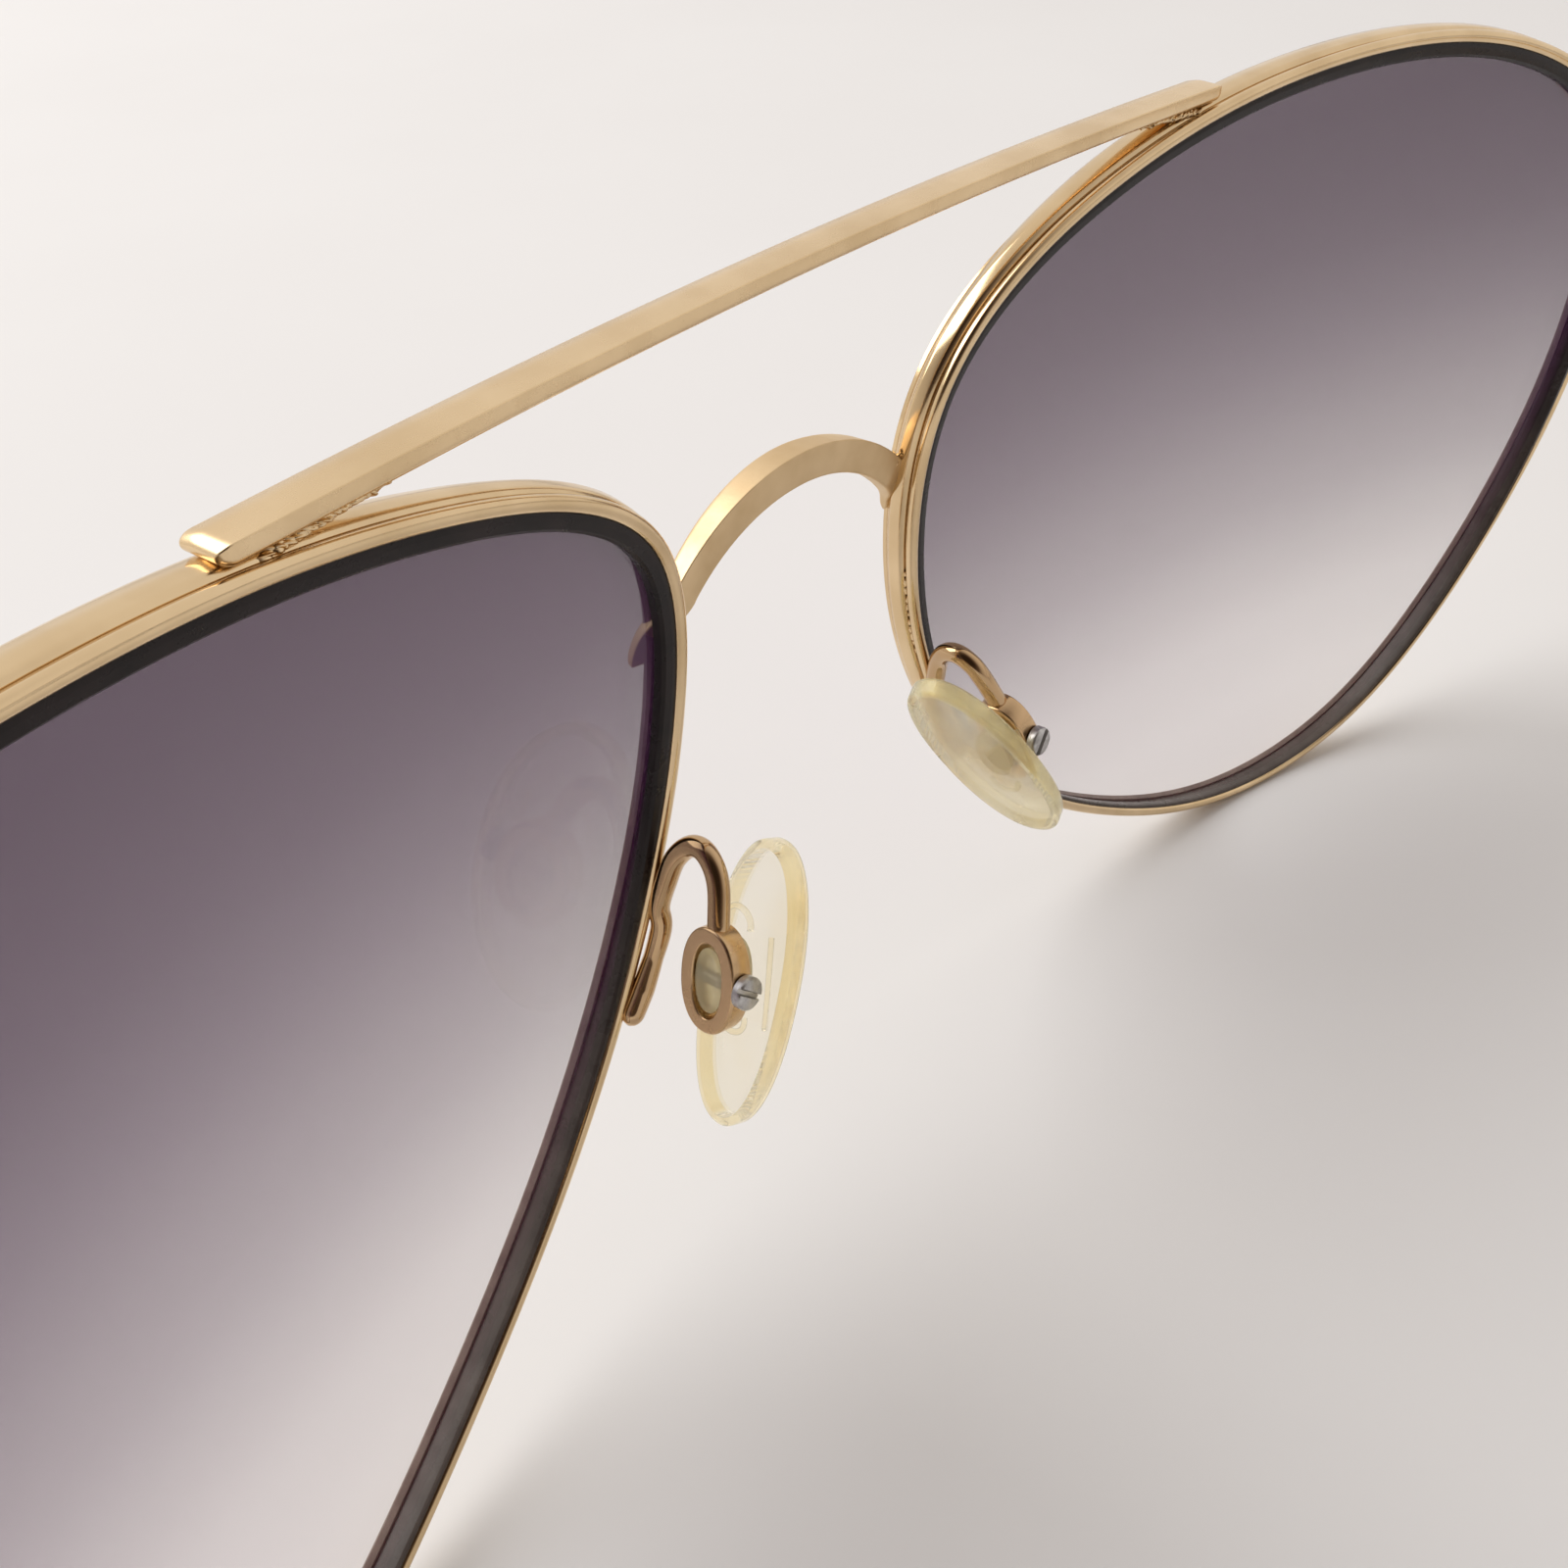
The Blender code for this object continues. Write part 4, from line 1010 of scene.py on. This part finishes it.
def make_hinges():
    """Three-knuckle hinge: two knuckles on the front leaf, one on the temple leaf, and its screw."""
    third = HINGE_H / 3
    low, high = HINGE_LOW, HINGE_LOW + HINGE_H
    shapes = [soft_block((1.2, 1.7, HINGE_H), (LEAF_X - 0.58, PIN_Y - 2.0, HINGE_Z), 0.14)]
    for a, b in ((low, low + third - HINGE_GAP), (low + 2 * third + HINGE_GAP, high)):
        shapes.append(soft_block((1.0, 1.2, b - a), (LEAF_X - 0.50, PIN_Y - 1.20, (a + b) / 2), 0.05))
        shapes.append(knuckle(a, b))
    verts, faces = joined(*shapes)
    both_sides("hinge_front", verts, faces, FRONT, SATIN, 40.0)
    a, b = low + third + HINGE_GAP, low + 2 * third - HINGE_GAP
    verts, faces = joined(soft_block((0.5, 2.6, HINGE_H), (LEAF_X - 0.25, PIN_Y + 2.3, HINGE_Z), 0.14),
                          soft_block((1.0, 1.0, b - a), (LEAF_X - 0.5, PIN_Y + 1.10, (a + b) / 2), 0.05),
                          knuckle(a, b))
    both_sides("hinge_temple", verts, faces, TEMPLES, SATIN, 40.0)
    matrix = Matrix.Translation(Vector((PIN_X, PIN_Y, 0.0)))
    verts, faces = slotted_head(0.90, high + 0.04, 0.48, 0.20, 0.2, math.radians(-15), matrix, PIN_R,
                                low - 0.35)
    both_sides("hinge_screw", verts, faces, FRONT, STEEL, 35.0)


def make_temples():
    """Flat strip that narrows toward the tip, with softened edges and a rounded front corner."""
    front = TEMPLE_FRONT
    stations = front + np.array((0, 12, 26, 44, 60, STRAIGHT))
    heights = (1.0, 0.97, 0.85, 0.62, 0.46, 0.44)
    ys = np.concatenate([front + np.array((0.0, 0.03, 0.10, 0.2)),
                         np.linspace(front + 0.5, front + STRAIGHT, 90)])
    sections = []
    for y in ys:
        end = 0.10 * max(0.0, 1 - (y - front) / 0.12)
        k = float(np.interp(y, stations, heights))
        sections.append(strip_section(TEMPLE_T / 2 - end, HINGE_H / 2 * k - end, 0.22))
    verts, faces = upright_sweep([(TEMPLE_X, y, HINGE_Z) for y in ys], sections)
    both_sides("temple", verts, faces, TEMPLES, SATIN, 40.0)


def make_tips():
    """Acetate sleeve over the end of the temple, bent down behind the ear, with rounded ends."""
    begin = TEMPLE_FRONT + STRAIGHT - LAP
    rows = ((0.0, 0.0, 0.0, 0.80), (0.0, 6.0, 0.0, 0.92), (0.0, 12.5, 0.0, 1.0),
            (-0.1, 18.0, -1.0, 1.02), (-0.4, 23.0, -3.4, 1.06), (-0.9, 28.0, -8.0, 1.12),
            (-1.6, 32.0, -13.8, 1.20), (-2.4, 35.5, -20.5, 1.30), (-3.3, 38.6, -27.8, 1.32),
            (-4.0, 41.0, LOW_Z - HINGE_Z + 0.43, 1.05))
    line = spline([(TEMPLE_X + x, begin + y, HINGE_Z + z, w) for x, y, z, w in rows], 130)
    path, width = line[:, :3], line[:, 3]
    along, side = carried(path, (1, 0, 0))
    run = np.concatenate([[0], np.cumsum(np.linalg.norm(np.diff(path, axis=0), axis=1))])
    rings = []
    for p, t, s, w, d in zip(path, along, side, width, run):
        o = np.cross(t, s)
        near = max(0.0, 1 - min(d / 0.35, (run[-1] - d) / 1.3))
        w *= math.sqrt(max(0.02, 1 - near * near * 0.9))
        rings.append([p + a * s + b * o for a, b in oval(1.12 * w, 1.46 * w, 40, 2.5)])
    verts, faces = skin(rings)
    both_sides("temple_tip", verts, faces, TEMPLES, TIP, 50.0)


# ---------------------------------------------------------------- floor, light, camera
FLOOR_HALF = 12.0                   # metres
DARK_SIDE = (0.58, 0.54, 0.55)      # direction of the unlit part of the room
KEY_AT = (0.36, -0.75, 0.88)        # soft lamp, metres
KEY_AIM = (0.0, -0.05, 0.02)
VIEW_AT = (41.64, 33.0, 44.46)      # camera in the drawing frame
VIEW_TURN = (50.006, 1.107, 130.779)    # degrees


def make_floor():
    """Plain pale paper."""
    mesh = bpy.data.meshes.new("floor")
    size = FLOOR_HALF
    mesh.from_pydata([(-size, -size, 0), (size, -size, 0), (size, size, 0), (-size, size, 0)],
                     [], [(0, 1, 2, 3)])
    floor = bpy.data.objects.new("floor", mesh)
    bpy.context.scene.collection.objects.link(floor)
    m = Mat("paper")
    tone = m.noise(14.0, 4.0)
    m.link(m.ramp(tone, [(0.3, (0.805, 0.795, 0.79)), (0.7, (0.82, 0.812, 0.808))]),
           m.shader.inputs["Base Color"])
    m.set(Roughness=0.9, Specular_IOR_Level=0.1)
    mesh.materials.append(m.mat)


def make_room():
    """World: a white room that darkens toward one side, behind the viewer's place."""
    world = bpy.data.worlds.new("room")
    bpy.context.scene.world = world
    world.use_nodes = True
    tree = world.node_tree
    back = tree.nodes["Background"]
    coord = tree.nodes.new("ShaderNodeTexCoord")
    dot = tree.nodes.new("ShaderNodeVectorMath")
    dot.operation = "DOT_PRODUCT"
    dot.inputs[1].default_value = Vector(DARK_SIDE).normalized()
    half = tree.nodes.new("ShaderNodeMath")
    half.operation = "MULTIPLY_ADD"
    half.inputs[1].default_value = 0.5
    half.inputs[2].default_value = 0.5
    ramp = tree.nodes.new("ShaderNodeValToRGB")
    fill_ramp(ramp, [(0.30, (0.80, 0.765, 0.735)), (0.62, (0.78, 0.74, 0.705)),
                     (0.80, (0.52, 0.48, 0.45)), (0.90, (0.14, 0.105, 0.085)),
                     (0.97, (0.035, 0.024, 0.018))])
    tree.links.new(coord.outputs["Generated"], dot.inputs[0])
    tree.links.new(dot.outputs["Value"], half.inputs[0])
    tree.links.new(half.outputs[0], ramp.inputs["Fac"])
    tree.links.new(ramp.outputs["Color"], back.inputs["Color"])
    back.inputs["Strength"].default_value = 1.07


def make_key():
    """One soft lamp from the front."""
    key = bpy.data.lights.new("key", "AREA")
    key.shape = "RECTANGLE"
    key.size = 1.0
    key.size_y = 1.0
    key.energy = 10.5
    key.color = (1.0, 0.995, 0.99)
    lamp = bpy.data.objects.new("key", key)
    bpy.context.scene.collection.objects.link(lamp)
    lamp.location = KEY_AT
    aim = Vector(KEY_AIM) - lamp.location
    lamp.rotation_euler = aim.to_track_quat("-Z", "Y").to_euler()


def make_camera():
    """Close view from behind, over the wearer's left pad, toward the right lens."""
    data = bpy.data.cameras.new("camera")
    data.lens = 33.75
    data.sensor_width = 36.0
    data.clip_start = 0.001
    camera = bpy.data.objects.new("camera", data)
    bpy.context.scene.collection.objects.link(camera)
    camera.location = Vector(metres([VIEW_AT])[0])
    camera.rotation_euler = [math.radians(a) for a in VIEW_TURN]
    bpy.context.scene.camera = camera
    bpy.context.scene.view_settings.view_transform = "Standard"


make_eyewires()
make_liners()
make_shaded_strips()
make_lenses()
make_bands()
make_bar()
make_bridge()
make_solder()
make_arms()
make_boxes()
make_pad_screws()
make_pads()
make_locks()
make_end_pieces()
make_hinges()
make_temples()
make_tips()
make_floor()
make_room()
make_key()
make_camera()

# the CAD nodes' own finish, by the record's material slot
PAD = pad_plastic("pad_plain", *PAD_TINT["L"])
PLAIN = {"gold": SATIN, "black_liner": BLACK, "lens_tint": LENS, "clear_pad": PAD, "steel": STEEL,
         "dark_tip": TIP}
for sub in frame["record"]["subparts"]:
    node = frame["nodes"][sub["node"]]
    for slot in node.material_slots:
        slot.material = PLAIN[sub["material_slot"]]
